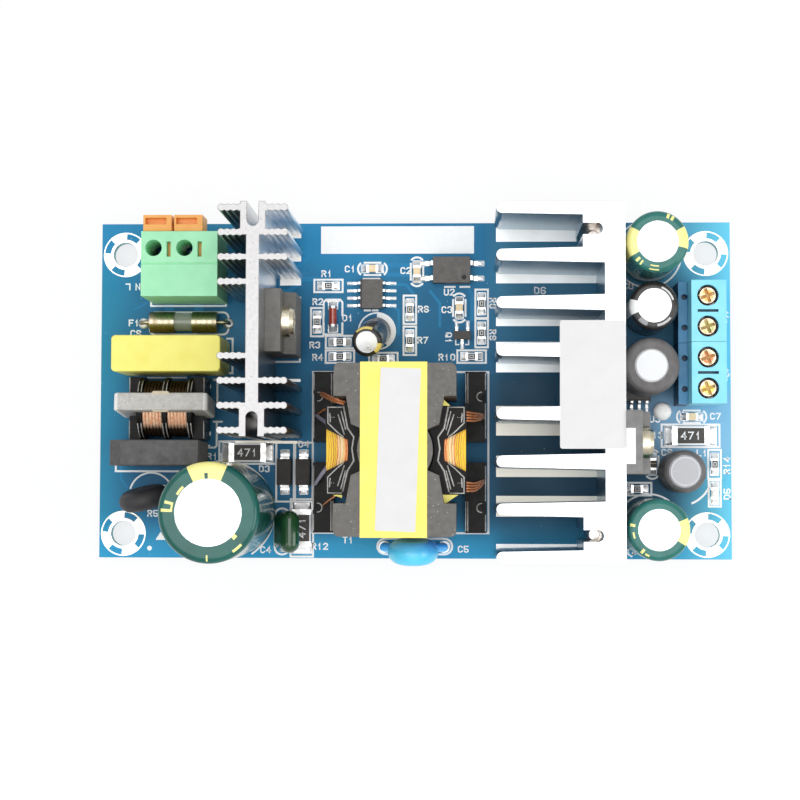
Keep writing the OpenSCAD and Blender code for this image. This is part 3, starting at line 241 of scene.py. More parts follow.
# Board: lighter towards the west, north and south sides, painted light on the east side, painted shade under
# the southern fins and painted light between the northern ones, pale on cut edges
board = Look("board_blue", (40, 119, 161), 0.3, Specular_IOR_Level=0.12)
board.mottle((36, 95, 135), 12.0, 0.8)
trace = Look("board_trace", (44, 134, 182), 0.34, Specular_IOR_Level=0.12)
trace.mottle((40, 118, 166), 6.0, 0.8)
fins = (0.0, 0.8, 12.0, 15.0)
for look in (board, trace):
    look.tint((42, 152, 184), x=(0.6, 0.0, -54.0, -47.0))
    look.tint((42, 138, 188), x=(1.0, 0.3, -8.0, 2.0), y=(0.0, 0.8, 17.0, 23.0))
    # Painted shade under the southern fins
    look.tint((46, 82, 104), x=fins, y=(1.0, 0.0, 2.0, 9.0))
    # Painted light on the board between the northern fins
    look.tint((84, 146, 176), x=fins, y=(0.0, 0.7, 6.0, 14.0))
    look.tint((52, 158, 204), y=(0.85, 0.0, -25.5, -20.0))
    # Painted light: the east side drawn brighter, as if lit more
    look.tint((106, 203, 236), x=(0.0, 0.95, 43.0, 53.0))
    north_end = look.span(look.axis("y"), 1.0, 0.0, -1.0, 2.0)
    look.tint((140, 184, 218), north_end, x=(0.0, 0.7, 37.0, 42.0), y=(0.0, 1.0, -14.0, -9.0))
    look.grain(0.5, 0.006)
board.speckle((150, 195, 225), 2.2, 0.035)
board.tint((120, 190, 196), board.upright())
board.polish(0.26, 0.42, 5.0)

# Print, labels and other coatings
ink = coat("white_ink", (254, 254, 254), (246, 249, 251), 0.6, 0.9, 0.8, 0.12, 0.004)
paper = coat("white_label", (224, 223, 222), (218, 217, 216), 0.62, 3.0, 0.7, 0.09, 0.004)
glue = coat("white_glue", (255, 255, 253), (250, 249, 246), 0.4, 0.8, 0.7, 0.6, 0.01)
cream = coat("cream_tape", (206, 192, 164), (184, 168, 140), 0.5, 1.0, 0.8, 0.4, 0.01)
lavender = coat("lead_sleeve", (186, 184, 200), (160, 158, 178), 0.4, 0.8, 0.8, 0.3, 0.008)
bead = coat("bead_red", (206, 84, 62), (160, 44, 34), 0.08, 0.7, 0.9, 0.4, 0.006,
            Coat_Weight=1.0, Transmission_Weight=0.25)
tin = coat("tin_plate", (242, 242, 241), (232, 231, 228), 0.5, 3.0, 0.7, 0.4, 0.002, Metallic=1.0)
# Painted shade: tinned copper darker and warmer from y -22 to 1 mm
tin.tint((224, 219, 208), tin.block(y=(-22.0, 1.0)))

# Mouldings and dipped parts
green = plastic("terminal_green", (166, 236, 188), (154, 226, 176), 0.45, 4.0)
orange = plastic("button_orange", (242, 172, 86), (236, 160, 74), 0.42, 3.0)
# Painted light: faces below the buttons' tops, in the recesses, lighter against their shade
orange.tint((250, 178, 98), orange.block(z=(-FAR, 13.6)))
yellow_box = plastic("box_yellow", (247, 239, 118), (241, 229, 102), 0.36, 4.0, 0.01, 0.5)
tape = plastic("tape_yellow", (248, 236, 110), (242, 224, 92), 0.26, 5.0, 0.01, 1.0)
epoxy = plastic("epoxy_black", (82, 81, 81), (66, 65, 66), 0.55, 1.5, 0.012, 0.16)
transistor_black = plastic("transistor_black", (108, 106, 102), (92, 90, 87), 0.5, 1.5, 0.012, 0.16)
rectifier_black = plastic("rectifier_black", (128, 127, 126), (108, 107, 106), 0.5, 1.5, 0.012, 0.16)
rectifier_black.tint((250, 250, 248), rectifier_black.block(x=(-FAR, 35.7), y=(-12.1, -6.4)))
chip_black = plastic("chip_black", (66, 63, 61), (80, 77, 74), 0.6, 0.7, 0.008, 0.1)
diode_black = plastic("diode_black", (46, 43, 41), (60, 56, 53), 0.55, 1.2, 0.012, 0.16,
                      Specular_IOR_Level=0.3)
chip_grey = plastic("chip_grey", (96, 93, 90), (82, 79, 76), 0.55, 0.9, 0.01, 0.12)
chip_tan = plastic("chip_tan", (248, 226, 188), (232, 204, 160), 0.5, 0.5, 0.006, 0.1)
# Painted shade: the chip capacitor at (42.5, -11.8) mm drawn dark
chip_tan.tint((70, 67, 64), chip_tan.ring((42.5, -11.8), 3.0))
led_look = plastic("led_white", (254, 254, 252), (246, 244, 232), 0.25, 0.5, 0.004, 0.1)
shrink = plastic("shrink_grey", (104, 102, 102), (86, 83, 83), 0.5, 2.0, 0.02, 0.5)
bobbin_black = plastic("bobbin_black", (20, 19, 18), (32, 30, 29), 0.28, 2.5, 0.012, 0.7,
                       Specular_IOR_Level=0.1)
# Pale tubes along black edges: painted highlights
glossy_edge = plastic("glossy_edge", (206, 204, 200), (150, 148, 144), 0.3, 0.8, 0.004, 0.3)
disc_black = plastic("disc_black", (48, 46, 48), (60, 58, 60), 0.5, 2.0, 0.03, 0.6, Specular_IOR_Level=0.35)
dipped = plastic("dipped_green", (26, 80, 44), (36, 62, 34), 0.14, 2.0, 0.02, 1.2, Coat_Weight=0.4)
disc_blue = plastic("disc_blue", (104, 218, 252), (80, 204, 250), 0.14, 3.0, 0.015, 1.5)
# Painted light: the north part bluer, against the yellow light thrown back from the tape
disc_blue.tint((66, 146, 255), y=(0.0, 0.9, -27.4, -25.2))

# Output terminals: painted shade on the ledge and in the grooves between the screws
blue_block = plastic("terminal_blue", (142, 225, 248), (126, 214, 242), 0.4, 4.0)
ledge = blue_block.block(x=(-FAR, 45.75))
for low, high, rgb in ((8.7, 9.3, (34, 112, 160)), (8.1, 8.5, (10, 48, 84))):
    blue_block.tint(rgb, ledge, z=(0.9, 0.0, low, high))
for y in (2.93, 13.09):
    groove = blue_block.block(x=(46.65, 50.15), y=(y - 0.3, y + 0.3))
    blue_block.tint((14, 62, 92), groove, z=(0.9, 0.0, 11.2, 11.55))

# Metals
tinned = metal("tinned_metal", (222, 222, 220), (196, 196, 194), 0.3)
solder = metal("solder", (242, 243, 244), (226, 227, 229), 0.48, 0.6, depth=0.003, grain=0.3)
aluminium_can = metal("can_aluminium", (240, 241, 242), (222, 224, 226), 0.36, 0.8)
screw_plate = metal("plated_screw", (230, 222, 202), (200, 188, 160), 0.3, 0.8)

# Secondary heatsink: drawn marks, a painted reflection of the board's blue on the walls between the fins, and
# painted light inside the two pin slots
DRAWN = (1, 1, 0.008)
SKIN = 0.4  # depth of the outer faces, which stay plain, mm
heatsink = Look("heatsink_aluminium", (236, 237, 239), 0.28, 1.0)
heatsink.mottle((214, 216, 219), 0.3, 0.7, 1.0, DRAWN)
low, high = (Vector(c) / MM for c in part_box("secondary_heatsink"))
wall = heatsink.upright()
gaps = heatsink.block(x=(-FAR, high.x - SKIN), y=(low.y + SKIN, high.y - SKIN))
heatsink.tint((146, 174, 190), wall, gaps)
heatsink.mottle((136, 154, 166), 0.35, 0.35, 1.0, DRAWN)
# Painted light inside the pin slots
for pin_slot in ((29.6, 25.1), (29.6, -24.2)):
    heatsink.tint((232, 222, 214), wall, heatsink.ring(pin_slot, 2.4))
heatsink.grain(0.3, 0.002)

# Primary heatsink: sawn top with grey specks, smoother walls, with a painted bright reflection on the
# north-east walls and darker painted reflections on the west and south-east walls
TOP_ROUGH = 0.36
WALL_ROUGH = 0.3
sawn = Look("sawn_aluminium", (166, 165, 165), TOP_ROUGH, 1.0)
sawn.mottle((154, 153, 153), 0.5, 0.8)
sawn.speckle((126, 125, 127), 0.7, 0.14)
wall = sawn.upright()
sawn.tint((214, 216, 219), wall)
# Painted reflections on the walls: bright at the north-east, darker at the west and south-east
sawn.tint((250, 252, 255), wall, x=(0.0, 1.0, -25.5, -24.0), y=(0.0, 1.0, 15.0, 17.0))
sawn.tint((146, 151, 152), wall, sawn.block(x=(-FAR, -26.0)))
sawn.tint((138, 136, 132), wall, sawn.block(x=(-26.0, FAR)), y=(1.0, 0.0, 5.0, 8.0))
sawn.feed(sawn.shader, Roughness=sawn.span(wall, TOP_ROUGH, WALL_ROUGH, 0.0, 1.0))
sawn.grain(0.2, 0.004, (1, 1, 0.02))

# Fuse caps: nickel, browner towards the south, and olive on the north side, a painted reflection of the green
# terminal
nickel = metal("nickel", (200, 190, 170), (152, 138, 112), 0.3, 0.9, (1, 0.3, 1))
nickel.tint((124, 100, 66), y=(0.8, 0.0, 10.9, 11.8))
# Painted reflection of the green terminal on the north side
nickel.tint((86, 90, 70), y=(0.0, 0.75, 12.5, 13.2))

# Terminal screws: yellow plating, stained in places, with painted shade in the slot and at the rim, down in
# the well
brass = metal("brass_screw", (214, 204, 182), (176, 150, 108), 0.26, 0.6, depth=0.012, grain=0.4)
for y, stain in ((0.41, (204, 178, 62)), (5.49, (190, 96, 54)), (10.57, (146, 160, 98)),
                 (15.65, (206, 140, 54))):
    brass.tint(stain, brass.ring((SCREW_X, y), 1.0), brass.span(brass.noise(0.7), 0.25, 1.0))
    # Painted shade in the well round the head
    brass.tint((40, 35, 30), brass.ring((SCREW_X, y), 2.0, 1.3))
# Painted shade in the cross slot
brass.tint((104, 74, 34), z=(0.75, 0.0, 10.7, 10.95))

# Copper: the choke's is bright on its upper side, with painted shade further down and on its north half under
# the bar
copper = plastic("copper_wire", (252, 176, 118), (222, 122, 72), 0.25, 0.8, 0.004, 0.2, Metallic=0.3)
choke_copper = plastic("choke_copper", (255, 226, 196), (244, 162, 106), 0.22, 0.5, 0.004, 0.2, Metallic=0.2)
choke_copper.tint((26, 16, 12), z=(0.97, 0.0, 10.2, 10.95))
choke_copper.tint((34, 22, 16), y=(0.0, 0.95, -3.0, -2.2))

# Ferrites: pale specks, painted highlights on the rounded ends of the choke's bar, a darker middle in the
# south inductor
ferrite_light = plastic("ferrite_light", (194, 191, 186), (168, 165, 159), 0.45, 0.7, 0.012, 0.2)
ferrite_light.speckle((216, 214, 210), 0.8, 0.12)
# Painted highlights on the bar's rounded ends
along = ferrite_light.calc("ABSOLUTE", ferrite_light.steps(CHOKE)[0])
ferrite_light.tint((236, 235, 232), ferrite_light.span(along, 0.0, 0.9, 6.9, 7.1))
ferrite = plastic("ferrite_dark", (102, 99, 94), (86, 83, 79), 0.5, 1.6, 0.012, 0.2)
ferrite.speckle((158, 155, 148), 0.75, 0.1)
ferrite.speckle((190, 187, 180), 1.3, 0.06)
drum = plastic("drum_ferrite", (206, 207, 211), (194, 195, 200), 0.5, 0.6, 0.006, 0.15)
drum.tint((230, 231, 232), drum.block(x=(-FAR, 42.0)))
drum.tint((184, 184, 188), drum.ring(COIL_2, 2.15))
drum.speckle((222, 222, 225), 0.6, 0.08)

glass = Look("clear_glass", (216, 218, 210), 0.08, Transmission_Weight=0.6, IOR=1.47)
glass.mottle((176, 182, 170), 2.0, 0.9, 2.0, (0.3, 1, 1))
glass.grain(1.5, 0.004)


# Shrink sleeves of the electrolytics: light printed sectors and short printed bars, and on the black one
# three painted highlight arcs

def sleeve(name, rgb, other, rough, prints_and_highlights):
    look = Look(name, rgb, rough, Coat_Weight=0.35, Coat_Roughness=0.05, Specular_IOR_Level=0.25)
    look.mottle(other, 3.0, 0.8)
    for colour, centre, *sectors in prints_and_highlights:
        for sector in sectors:
            look.tint(colour, look.wedge(centre, *sector))
    look.polish(rough - 0.05, rough + 0.08, 2.0)
    look.grain(3.0, 0.2)
    look.grain(1.2, 0.012)
    return look


PALE = (248, 240, 152)
GREEN_DARK = (18, 82, 74)
bulk_sleeve = sleeve("bulk_sleeve", (28, 100, 90), GREEN_DARK, 0.18, [
    (PALE, BULK, (92, 24)),
    (GREEN_DARK, BULK, (93, 2.6, 0.0, 6.2)),
    (PALE, BULK, (142, 8, 5.4, 5.8), (166, 2, 5.6, 7.0), (172, 7, 5.6, 5.9), (177, 2, 5.6, 7.4),
     (310, 7, 7.0, 7.4), (318, 4, 5.3, 5.9), (269, 1, 6.6, 7.6))])
out_sleeve = sleeve("out_sleeve", (44, 118, 110), (32, 100, 92), 0.18, [
    (PALE, OUT_N, (180, 29), (8, 22), (58, 3, 4.0, 4.8), (68, 3, 4.0, 4.8), (222, 3, 3.9, 4.7),
     (232, 2, 3.9, 4.7), (262, 10, 4.5, 4.7), (262, 10, 3.9, 4.1)),
    (PALE, OUT_S, (356, 27), (170, 3, 3.9, 4.7), (192, 7, 4.0, 4.3), (232, 3, 3.9, 4.7), (244, 5, 4.3, 4.6))])
black_sleeve = sleeve("sleeve_black", (38, 36, 36), (52, 49, 47), 0.22, [
    ((240, 240, 238), BLACK, (184, 19)),
    # Painted highlight arcs on the black sleeve's rim, in the next three rows
    ((214, 214, 214), BLACK, (42, 26, 3.0, 3.3)),
    ((190, 190, 190), BLACK, (300, 22, 3.1, 3.5)),
    ((150, 150, 150), BLACK, (236, 14, 2.9, 3.6)),
    ((238, 214, 120), SMALL, (335, 22, 1.8, 2.9)),
    ((232, 206, 116), SMALL, (100, 34, 2.2, 2.7))])

# Transformer winding: wire and tape layers, from the inside out, bowed in where no cheek holds them
winding = Look("winding", (255, 216, 44), 0.35)
u, v = winding.steps(TR)
bow = winding.calc("MULTIPLY", winding.calc("MULTIPLY", v, v), BOW)
layer = winding.calc("ADD", winding.calc("SUBTRACT", winding.calc("ABSOLUTE", u), bow),
                     winding.span(winding.noise(1.2), -0.08, 0.08))
winding.mottle((250, 188, 20), 1.2, 0.6)
for inner, outer, rgb in (
    (0.0, 7.7, (204, 116, 56)), (7.7, 8.0, (246, 186, 70)), (8.0, 8.45, (250, 206, 132)),
    (8.45, 8.82, (255, 228, 172)), (8.82, 8.94, (222, 132, 72)), (8.94, 9.18, (255, 226, 162)),
    (9.18, 9.36, (206, 104, 34)), (9.52, 9.6, (172, 92, 12)), (9.8, 9.95, (206, 116, 14)),
    (10.2, 10.27, (180, 104, 14)), (10.6, 10.68, (214, 130, 16)),
):
    winding.tint(rgb, winding.within(layer, inner, outer))
winding.polish(0.28, 0.45, 1.5)
winding.relief(winding.calc("SINE", winding.calc("MULTIPLY", layer, 18.0)), 0.02)

NODE_LOOKS = {
    board: "pcb",
    green: "input_terminal_housing",
    orange: "input_button_west input_button_east",
    tinned: "input_terminal_contacts input_terminal_springs transistor_leads transformer_pins "
            "component_leads surface_leads chip_terminations heatsink_pins fuse_element "
            "output_terminal_contacts clamp_cage_1 clamp_cage_2 clamp_cage_3 clamp_cage_4",
    glass: "fuse_glass",
    nickel: "fuse_caps",
    yellow_box: "mains_capacitor",
    ferrite_light: "choke_core",
    ferrite: "transformer_core",
    drum: "inductor_cores",
    bobbin_black: "choke_bobbin transformer_bobbin",
    copper: "transformer_leadouts",
    choke_copper: "choke_windings",
    epoxy: "bridge_rectifier",
    transistor_black: "switch_transistor",
    rectifier_black: "output_rectifier",
    disc_black: "thermistor",
    aluminium_can: "bulk_capacitor_can capacitor_cans",
    bulk_sleeve: "bulk_capacitor_sleeve",
    out_sleeve: "green_sleeves",
    black_sleeve: "black_sleeves",
    sawn: "primary_heatsink",
    heatsink: "secondary_heatsink",
    screw_plate: "heatsink_screws",
    winding: "transformer_winding",
    tape: "transformer_tape",
    disc_blue: "safety_capacitor",
    dipped: "film_capacitor",
    bead: "glass_diode",
    chip_black: "voltage_reference chip_resistors",
    diode_black: "power_diodes",
    chip_grey: "sop_chips optocoupler",
    chip_tan: "chip_capacitors",
    led_look: "indicator_led",
    shrink: "inductor_sleeves",
    blue_block: "output_terminal_north output_terminal_south",
    brass: "terminal_screw_1 terminal_screw_2 terminal_screw_3 terminal_screw_4",
    solder: "solder_joints",
}
for look, names in NODE_LOOKS.items():
    for name in names.split():
        for place in nodes[name].material_slots:
            place.material = look.material

# Small round edges on moulded, pressed and cut pieces: radius in mm
SOFT_EDGES = {
    0.35: "mains_capacitor",
    0.3: "choke_core",
    0.2: "bridge_rectifier",
    0.18: "transformer_core",
    0.15: "input_terminal_housing switch_transistor output_rectifier",
    0.12: "output_terminal_north output_terminal_south",
    0.1: "input_button_west input_button_east transformer_bobbin primary_heatsink secondary_heatsink",
    0.08: "choke_bobbin optocoupler",
}
for radius, names in SOFT_EDGES.items():
    for name in names.split():
        modifiers = nodes[name].modifiers
        weld = modifiers.new("weld", "WELD")
        weld.merge_threshold = 0.0005 * MM
        flat = modifiers.new("flat", "DECIMATE")
        flat.decimate_type = "DISSOLVE"
        flat.angle_limit = math.radians(0.5)
        edges = modifiers.new("edges", "BEVEL")
        edges.width = radius * MM
        edges.segments = 2
        edges.limit_method = "ANGLE"
        edges.angle_limit = math.radians(40)


# Mesh tools

def turned(x, y, degrees):
    a = math.radians(degrees)
    return x * math.cos(a) - y * math.sin(a), x * math.sin(a) + y * math.cos(a)


def placed(points, centre, turn):
    """Points turned about the origin and then moved to the centre."""
    return [(centre[0] + x, centre[1] + y) for x, y in (turned(*p, turn) for p in points)]


def box_outline(cx, cy, w, h, turn=0.0):
    corners = ((-w / 2, -h / 2), (w / 2, -h / 2), (w / 2, h / 2), (-w / 2, h / 2))
    return placed(corners, (cx, cy), turn)


def rounded_outline(cx, cy, w, h, r, turn=0.0, steps=4):
    points = []
    for k, (sx, sy) in enumerate(((1, 1), (-1, 1), (-1, -1), (1, -1))):
        for i in range(steps + 1):
            a = math.radians(90 * k + 90 * i / steps)
            points.append((sx * (w / 2 - r) + r * math.cos(a), sy * (h / 2 - r) + r * math.sin(a)))
    return placed(points, (cx, cy), turn)


def arc(cx, cy, r, start, end, step=6):
    steps = max(2, math.ceil(abs(end - start) / step))
    angles = [math.radians(start + (end - start) * i / steps) for i in range(steps + 1)]
    return [(cx + r * math.cos(a), cy + r * math.sin(a)) for a in angles]


def smooth_path(points, steps):
    """Catmull-Rom curve through the points."""
    points = [Vector(p) for p in points]
    ends = [points[0] * 2 - points[1]] + points + [points[-1] * 2 - points[-2]]
    path = []
    for a, b, c, d in zip(ends, ends[1:], ends[2:], ends[3:]):
        for i in range(steps):
            t = i / steps
            path.append(0.5 * (2 * b + (c - a) * t + (2 * a - 5 * b + 4 * c - d) * t * t
                               + (3 * b - a - 3 * c + d) * t ** 3))
    return path + [points[-1]]


def put(name, data):
    """Links a new object to the scene."""
    thing = bpy.data.objects.new(name, data)
    bpy.context.scene.collection.objects.link(thing)
    return thing


class Build:
    """Closed solids, in mm, gathered into one piece."""

    def __init__(self):
        self.points = []
        self.faces = []
        self.rounded = []

    def solid(self, points, faces, rounded=False):
        first = len(self.points)
        self.points += [Vector(p) * MM for p in points]
        self.faces += [[first + i for i in face] for face in faces]
        self.rounded += [rounded] * len(faces)

    def prism(self, outline, z0, z1):
        area = sum(a[0] * b[1] - b[0] * a[1] for a, b in zip(outline, outline[1:] + outline[:1]))
        if area < 0:
            outline = outline[::-1]
        n = len(outline)
        points = [(x, y, z0) for x, y in outline] + [(x, y, z1) for x, y in outline]
        sides = [[i, (i + 1) % n, n + (i + 1) % n, n + i] for i in range(n)]
        self.solid(points, [list(range(n))[::-1], list(range(n, 2 * n))] + sides)

    def mound(self, centre, z, size, turn, height, cells=8):
        """Patch of solder or glue on a level face: height(a, b) in mm, with a and b from -1 to 1."""
        n = cells + 1
        steps = [2 * i / cells - 1 for i in range(n)]
        top = []
        for b in steps:
            for a in steps:
                x, y = turned(a * size[0] / 2, b * size[1] / 2, turn)
                top.append((centre[0] + x, centre[1] + y, z + max(height(a, b), 0.004)))
        loop = (list(range(n)) + [n * j + cells for j in range(1, n)]
                + [n * cells + i for i in range(cells - 1, -1, -1)]
                + [n * j for j in range(cells - 1, 0, -1)])
        rim = [(top[i][0], top[i][1], z) for i in loop]
        faces = [[n * j + i, n * j + i + 1, n * j + n + i + 1, n * j + n + i]
                 for j in range(cells) for i in range(cells)]
        m = len(loop)
        base = len(top)
        faces += [[base + k, base + (k + 1) % m, loop[(k + 1) % m], loop[k]] for k in range(m)]
        faces.append([base + k for k in range(m)][::-1])
        self.solid(top + rim, faces, True)

    def tube(self, path, radius, sides=8):
        """Round wire along a path, closed at both ends."""
        path = [Vector(p) for p in path]
        ahead = [(b - a).normalized() for a, b in zip(path, path[1:])]
        tangents = [ahead[0]] + [(a + b).normalized() for a, b in zip(ahead, ahead[1:])] + [ahead[-1]]
        side = tangents[0].orthogonal().normalized()
        points = []
        for p, t in zip(path, tangents):
            side = (side - t * side.dot(t)).normalized()
            other = t.cross(side)
            points += [p + radius * (side * math.cos(a) + other * math.sin(a))
                       for a in (2 * math.pi * k / sides for k in range(sides))]
        faces = []
        for j in range(len(path) - 1):
            for k in range(sides):
                a, b = sides * j + k, sides * j + (k + 1) % sides
                faces.append([a, b, b + sides, a + sides])
        last = sides * (len(path) - 1)
        faces += [list(range(sides))[::-1], list(range(last, last + sides))]
        self.solid(points, faces, True)

    def lathe(self, centre, base, profile, sides=32):
        """Turned solid about an upright axis: radii, and heights over the base, from the axis back to it."""
        points, rings = [], []
        for r, z in profile:
            ring = [len(points) + k for k in range(sides if r > 0 else 1)]
            points += [(x, y, base + z) for x, y in arc(*centre, r, 0, 360, 360 / sides)[:len(ring)]]
            rings.append(ring)
        faces = []
        for low, high in zip(rings, rings[1:]):
            for k in range(sides):
                a, b = low[k % len(low)], low[(k + 1) % len(low)]
                c, d = high[(k + 1) % len(high)], high[k % len(high)]
                faces.append(list(dict.fromkeys((a, b, c, d))))
        self.solid(points, faces, True)

    def piece(self, name, look, slot=None):
        mesh = bpy.data.meshes.new(name)
        mesh.from_pydata(self.points, [], self.faces)
        mesh.polygons.foreach_set("use_smooth", self.rounded)
        mesh.materials.append(look.material)
        mesh.update()
        thing = put(name, mesh)
        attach(thing, "board")
        return thing


# Strokes of the printed letters on a grid 4 wide and 6 high
STROKES = {
    "0": "10 30 41 45 36 16 05 01 10", "1": "14 26 20", "2": "05 16 36 45 44 00 40",
    "3": "05 16 36 45 44 33 42 41 30 10 01", "4": "30 36 02 42", "5": "46 06 03 33 42 41 30 10 01",
    "6": "45 36 16 05 01 10 30 41 42 33 03", "7": "06 46 10",
    "8": "13 04 05 16 36 45 44 33 13 02 01 10 30 41 42 33", "9": "01 10 30 41 45 36 16 05 04 13 43",
    "R": "00 06 36 45 44 33 03,23 40", "C": "45 36 16 05 01 10 30 41", "D": "00 06 26 45 41 20 00",
    "U": "06 01 10 30 41 46", "L": "06 00 40", "F": "00 06 46,03 33", "T": "06 46,26 20",
    "N": "00 06 40 46", "Q": "10 30 41 45 36 16 05 01 10,22 40", "+": "03 43,21 25", "-": "03 43",
}


class Print(Build):
    """Flat printed marks. Each mark is a hair higher or lower than the last, so that none coincide."""

    def __init__(self, z, thick=INK):
        super().__init__()
        self.z0, self.z1 = z, z + thick
        self.count = 0

    def upper(self):
        self.count += 1
        return self.z1 + 0.001 * (self.count % 11)

    def fill(self, outline):
        self.prism(outline, self.z0, self.upper())

    def bar(self, x0, y0, x1, y1):
        self.fill([(x0, y0), (x1, y0), (x1, y1), (x0, y1)])

    def strip(self, left, right, closed):
        """Band between two rows of points, the first on the left hand of the run."""
        n = len(left)
        top = self.upper()
        points = [(p[0], p[1], z) for z in (self.z0, top) for p in list(left) + list(right)]
        faces = []
        for i in range(n if closed else n - 1):
            j = (i + 1) % n
            faces += [[3 * n + i, 3 * n + j, 2 * n + j, 2 * n + i], [i, j, n + j, n + i],
                      [2 * n + i, 2 * n + j, j, i], [n + i, n + j, 3 * n + j, 3 * n + i]]
        if not closed:
            faces += [[0, n, 3 * n, 2 * n], [3 * n - 1, 4 * n - 1, 2 * n - 1, n - 1]]
        self.solid(points, faces)

    def line(self, points, width=LINE, closed=False):
        """Stroke along the points, mitred at its corners."""
        points = [Vector(p) for p in points]
        ahead = [(b - a).normalized() for a, b in zip(points, points[1:] + points[:1])]
        if not closed:
            ahead[-1] = ahead[-2]
            points[0] = points[0] - ahead[0] * (width / 2)
            points[-1] = points[-1] + ahead[-1] * (width / 2)
        left, right = [], []
        for i, p in enumerate(points):
            before = ahead[i - 1] if closed or i else ahead[0]
            after = ahead[i]
            out = Vector((-before.y - after.y, before.x + after.x)).normalized()
            reach = width / 2 / max(out.dot(Vector((-after.y, after.x))), 0.45)
            left.append(p + out * reach)
            right.append(p - out * reach)
        self.strip(left, right, closed)

    def frame(self, cx, cy, w, h, turn=0.0, width=LINE):
        self.line(box_outline(cx, cy, w, h, turn), width, True)

    def ring(self, cx, cy, inner, outer, start=0.0, end=360.0):
        whole = end - start >= 360
        left, right = (arc(cx, cy, r, start, end) for r in (inner, outer))
        if whole:
            left, right = left[:-1], right[:-1]
        self.strip(left, right, whole)

    def text(self, words, cx, cy, height, turn=0.0, width=0.22):
        unit = height / 6
        advance = 6.3 * unit
        start = -(len(words) - 1) * advance / 2 - 2 * unit
        for k, letter in enumerate(words):
            for stroke in STROKES[letter].split(","):
                points = [(start + k * advance + int(u) * unit, (int(v) - 3) * unit)
                          for u, v in stroke.split()]
                self.line(placed(points, (cx, cy), turn), width)


def islands(name):
    """Lowest and highest corners, in mm, of each separate solid of a CAD node."""
    mesh = nodes[name].data
    merged, index = {}, []
    for v in mesh.vertices:
        index.append(merged.setdefault(tuple(round(c * 1e6) for c in v.co), len(merged)))
    parent = list(range(len(merged)))

    def root(i):
        while parent[i] != i:
            parent[i] = parent[parent[i]]
            i = parent[i]
        return i

    for edge in mesh.edges:
        a, b = (root(index[i]) for i in edge.vertices)
        parent[a] = b
    boxes = {}
    for v, i in zip(mesh.vertices, index):
        co = v.co / MM
        low, high = boxes.setdefault(root(i), (co, co))
        boxes[root(i)] = (Vector(map(min, low, co)), Vector(map(max, high, co)))
    return sorted(boxes.values(), key=lambda b: tuple(b[0]))


def middle(box):
    return (box[0] + box[1]) / 2


CHIP_ENDS = islands("chip_terminations")


def chip(box):
    """Centre, turn, overall length and width of a chip, from its body and the two ends nearest to it."""
    centre = middle(box)
    ends = sorted(CHIP_ENDS, key=lambda e: (middle(e) - centre).length)[:2]
    step = middle(ends[1]) - middle(ends[0])
    i, j = (0, 1) if abs(step.x) > abs(step.y) else (1, 0)
    length = max(e[1][i] for e in ends) - min(e[0][i] for e in ends)
    return tuple(centre.xy), 90 * i, length, (box[1] - box[0])[j]


# Printed board

silk = Print(TOP)
plated = Print(TOP)

# Mounting holes: two plated rings joined by four quarters
for x in (-49.4, 49.4):
    for y in (-23.8, 23.8):
        plated.ring(x, y, 3.6, 3.82)
        plated.ring(x, y, 2.12, 2.6)
        for start, end in ((87, 135), (175, 226), (266, 317), (357, 407)):
            plated.ring(x, y, 2.55, 3.65, start, end)

# Chips: a frame round each resistor, side lines and round ends for each capacitor
LARGE = 4.0  # length, in mm, from which a chip counts as large
RESISTORS = [(box[1].z, *chip(box)) for box in islands("chip_resistors")]
for _, centre, turn, length, _ in RESISTORS:
    size = (4.84, 2.12) if length < LARGE else (9.7, 3.8)
    silk.frame(*centre, *size, turn)
for box in islands("chip_capacitors"):
    centre, turn, _, _ = chip(box)
    for s in (-1, 1):
        silk.line(placed([(-1.35, s * 1.05), (1.35, s * 1.05)], centre, turn))
        end, = placed([(s * 1.25, 0)], centre, turn)
        heading = turn + (0 if s > 0 else 180)
        silk.ring(*end, 1.05, 1.05 + LINE, heading - 55, heading + 55)
for box in islands("indicator_led"):
    silk.frame(*middle(box).xy, 2.0, 4.4)
for box in islands("power_diodes"):
    silk.frame(*middle(box).xy, 3.0, 10.0)

LABELS = [
    ("R1", -14.9, 20.5), ("C1", -10.9, 21.3), ("C2", -1.4, 21.0), ("U2", 6.0, 17.3),
    ("R2", -16.4, 15.7), ("D1", -11.3, 12.9), ("R3", -16.9, 8.3), ("R4", -16.4, 6.2),
    ("R6", 1.6, 14.4), ("R7", 1.5, 9.1), ("C3", 5.6, 14.3), ("R8", 13.4, 15.4, -90),
    ("R9", 13.4, 10.0, -90), ("Q1", 5.9, 9.5, -90), ("R10", 5.6, 6.2), ("R11", -33.8, -10.7),
    ("D3", -25.4, -12.8), ("D4", -18.7, -8.6), ("C4", -25.1, -26.5), ("R12", -15.9, -25.9),
    ("T1", -11.1, -24.8), ("C5", 8.4, -26.3), ("R13", 40.7, -7.0), ("C6", 42.7, -9.9),
    ("U3", 40.7, -4.3), ("C7", 50.9, -3.8), ("L1", 48.6, -10.0), ("R14", 52.75, -12.1, 90),
    ("D5", 52.75, -16.9, 90), ("C8", 36.3, 18.3), ("F1", -47.9, 12.1), ("C9", -47.6, 10.3),
    ("L", -49.0, 18.3, 180), ("N", -47.3, 18.3, 180), ("C10", 36.2, -26.6), ("R5", -44.4, -20.4),
]
for words, x, y, *turn in LABELS:
    silk.text(words, x, y, 0.95, *turn)
silk.text("D6", 21.4, 17.55, 1.05)
for words, y in (("+1-", 13.0), ("+2-", 3.2)):
    silk.text(words, 52.85, y, 0.7, -90, 0.2)

# Blank printed panel at the north edge
silk.bar(-15.9, 23.9, 10.2, 28.6)

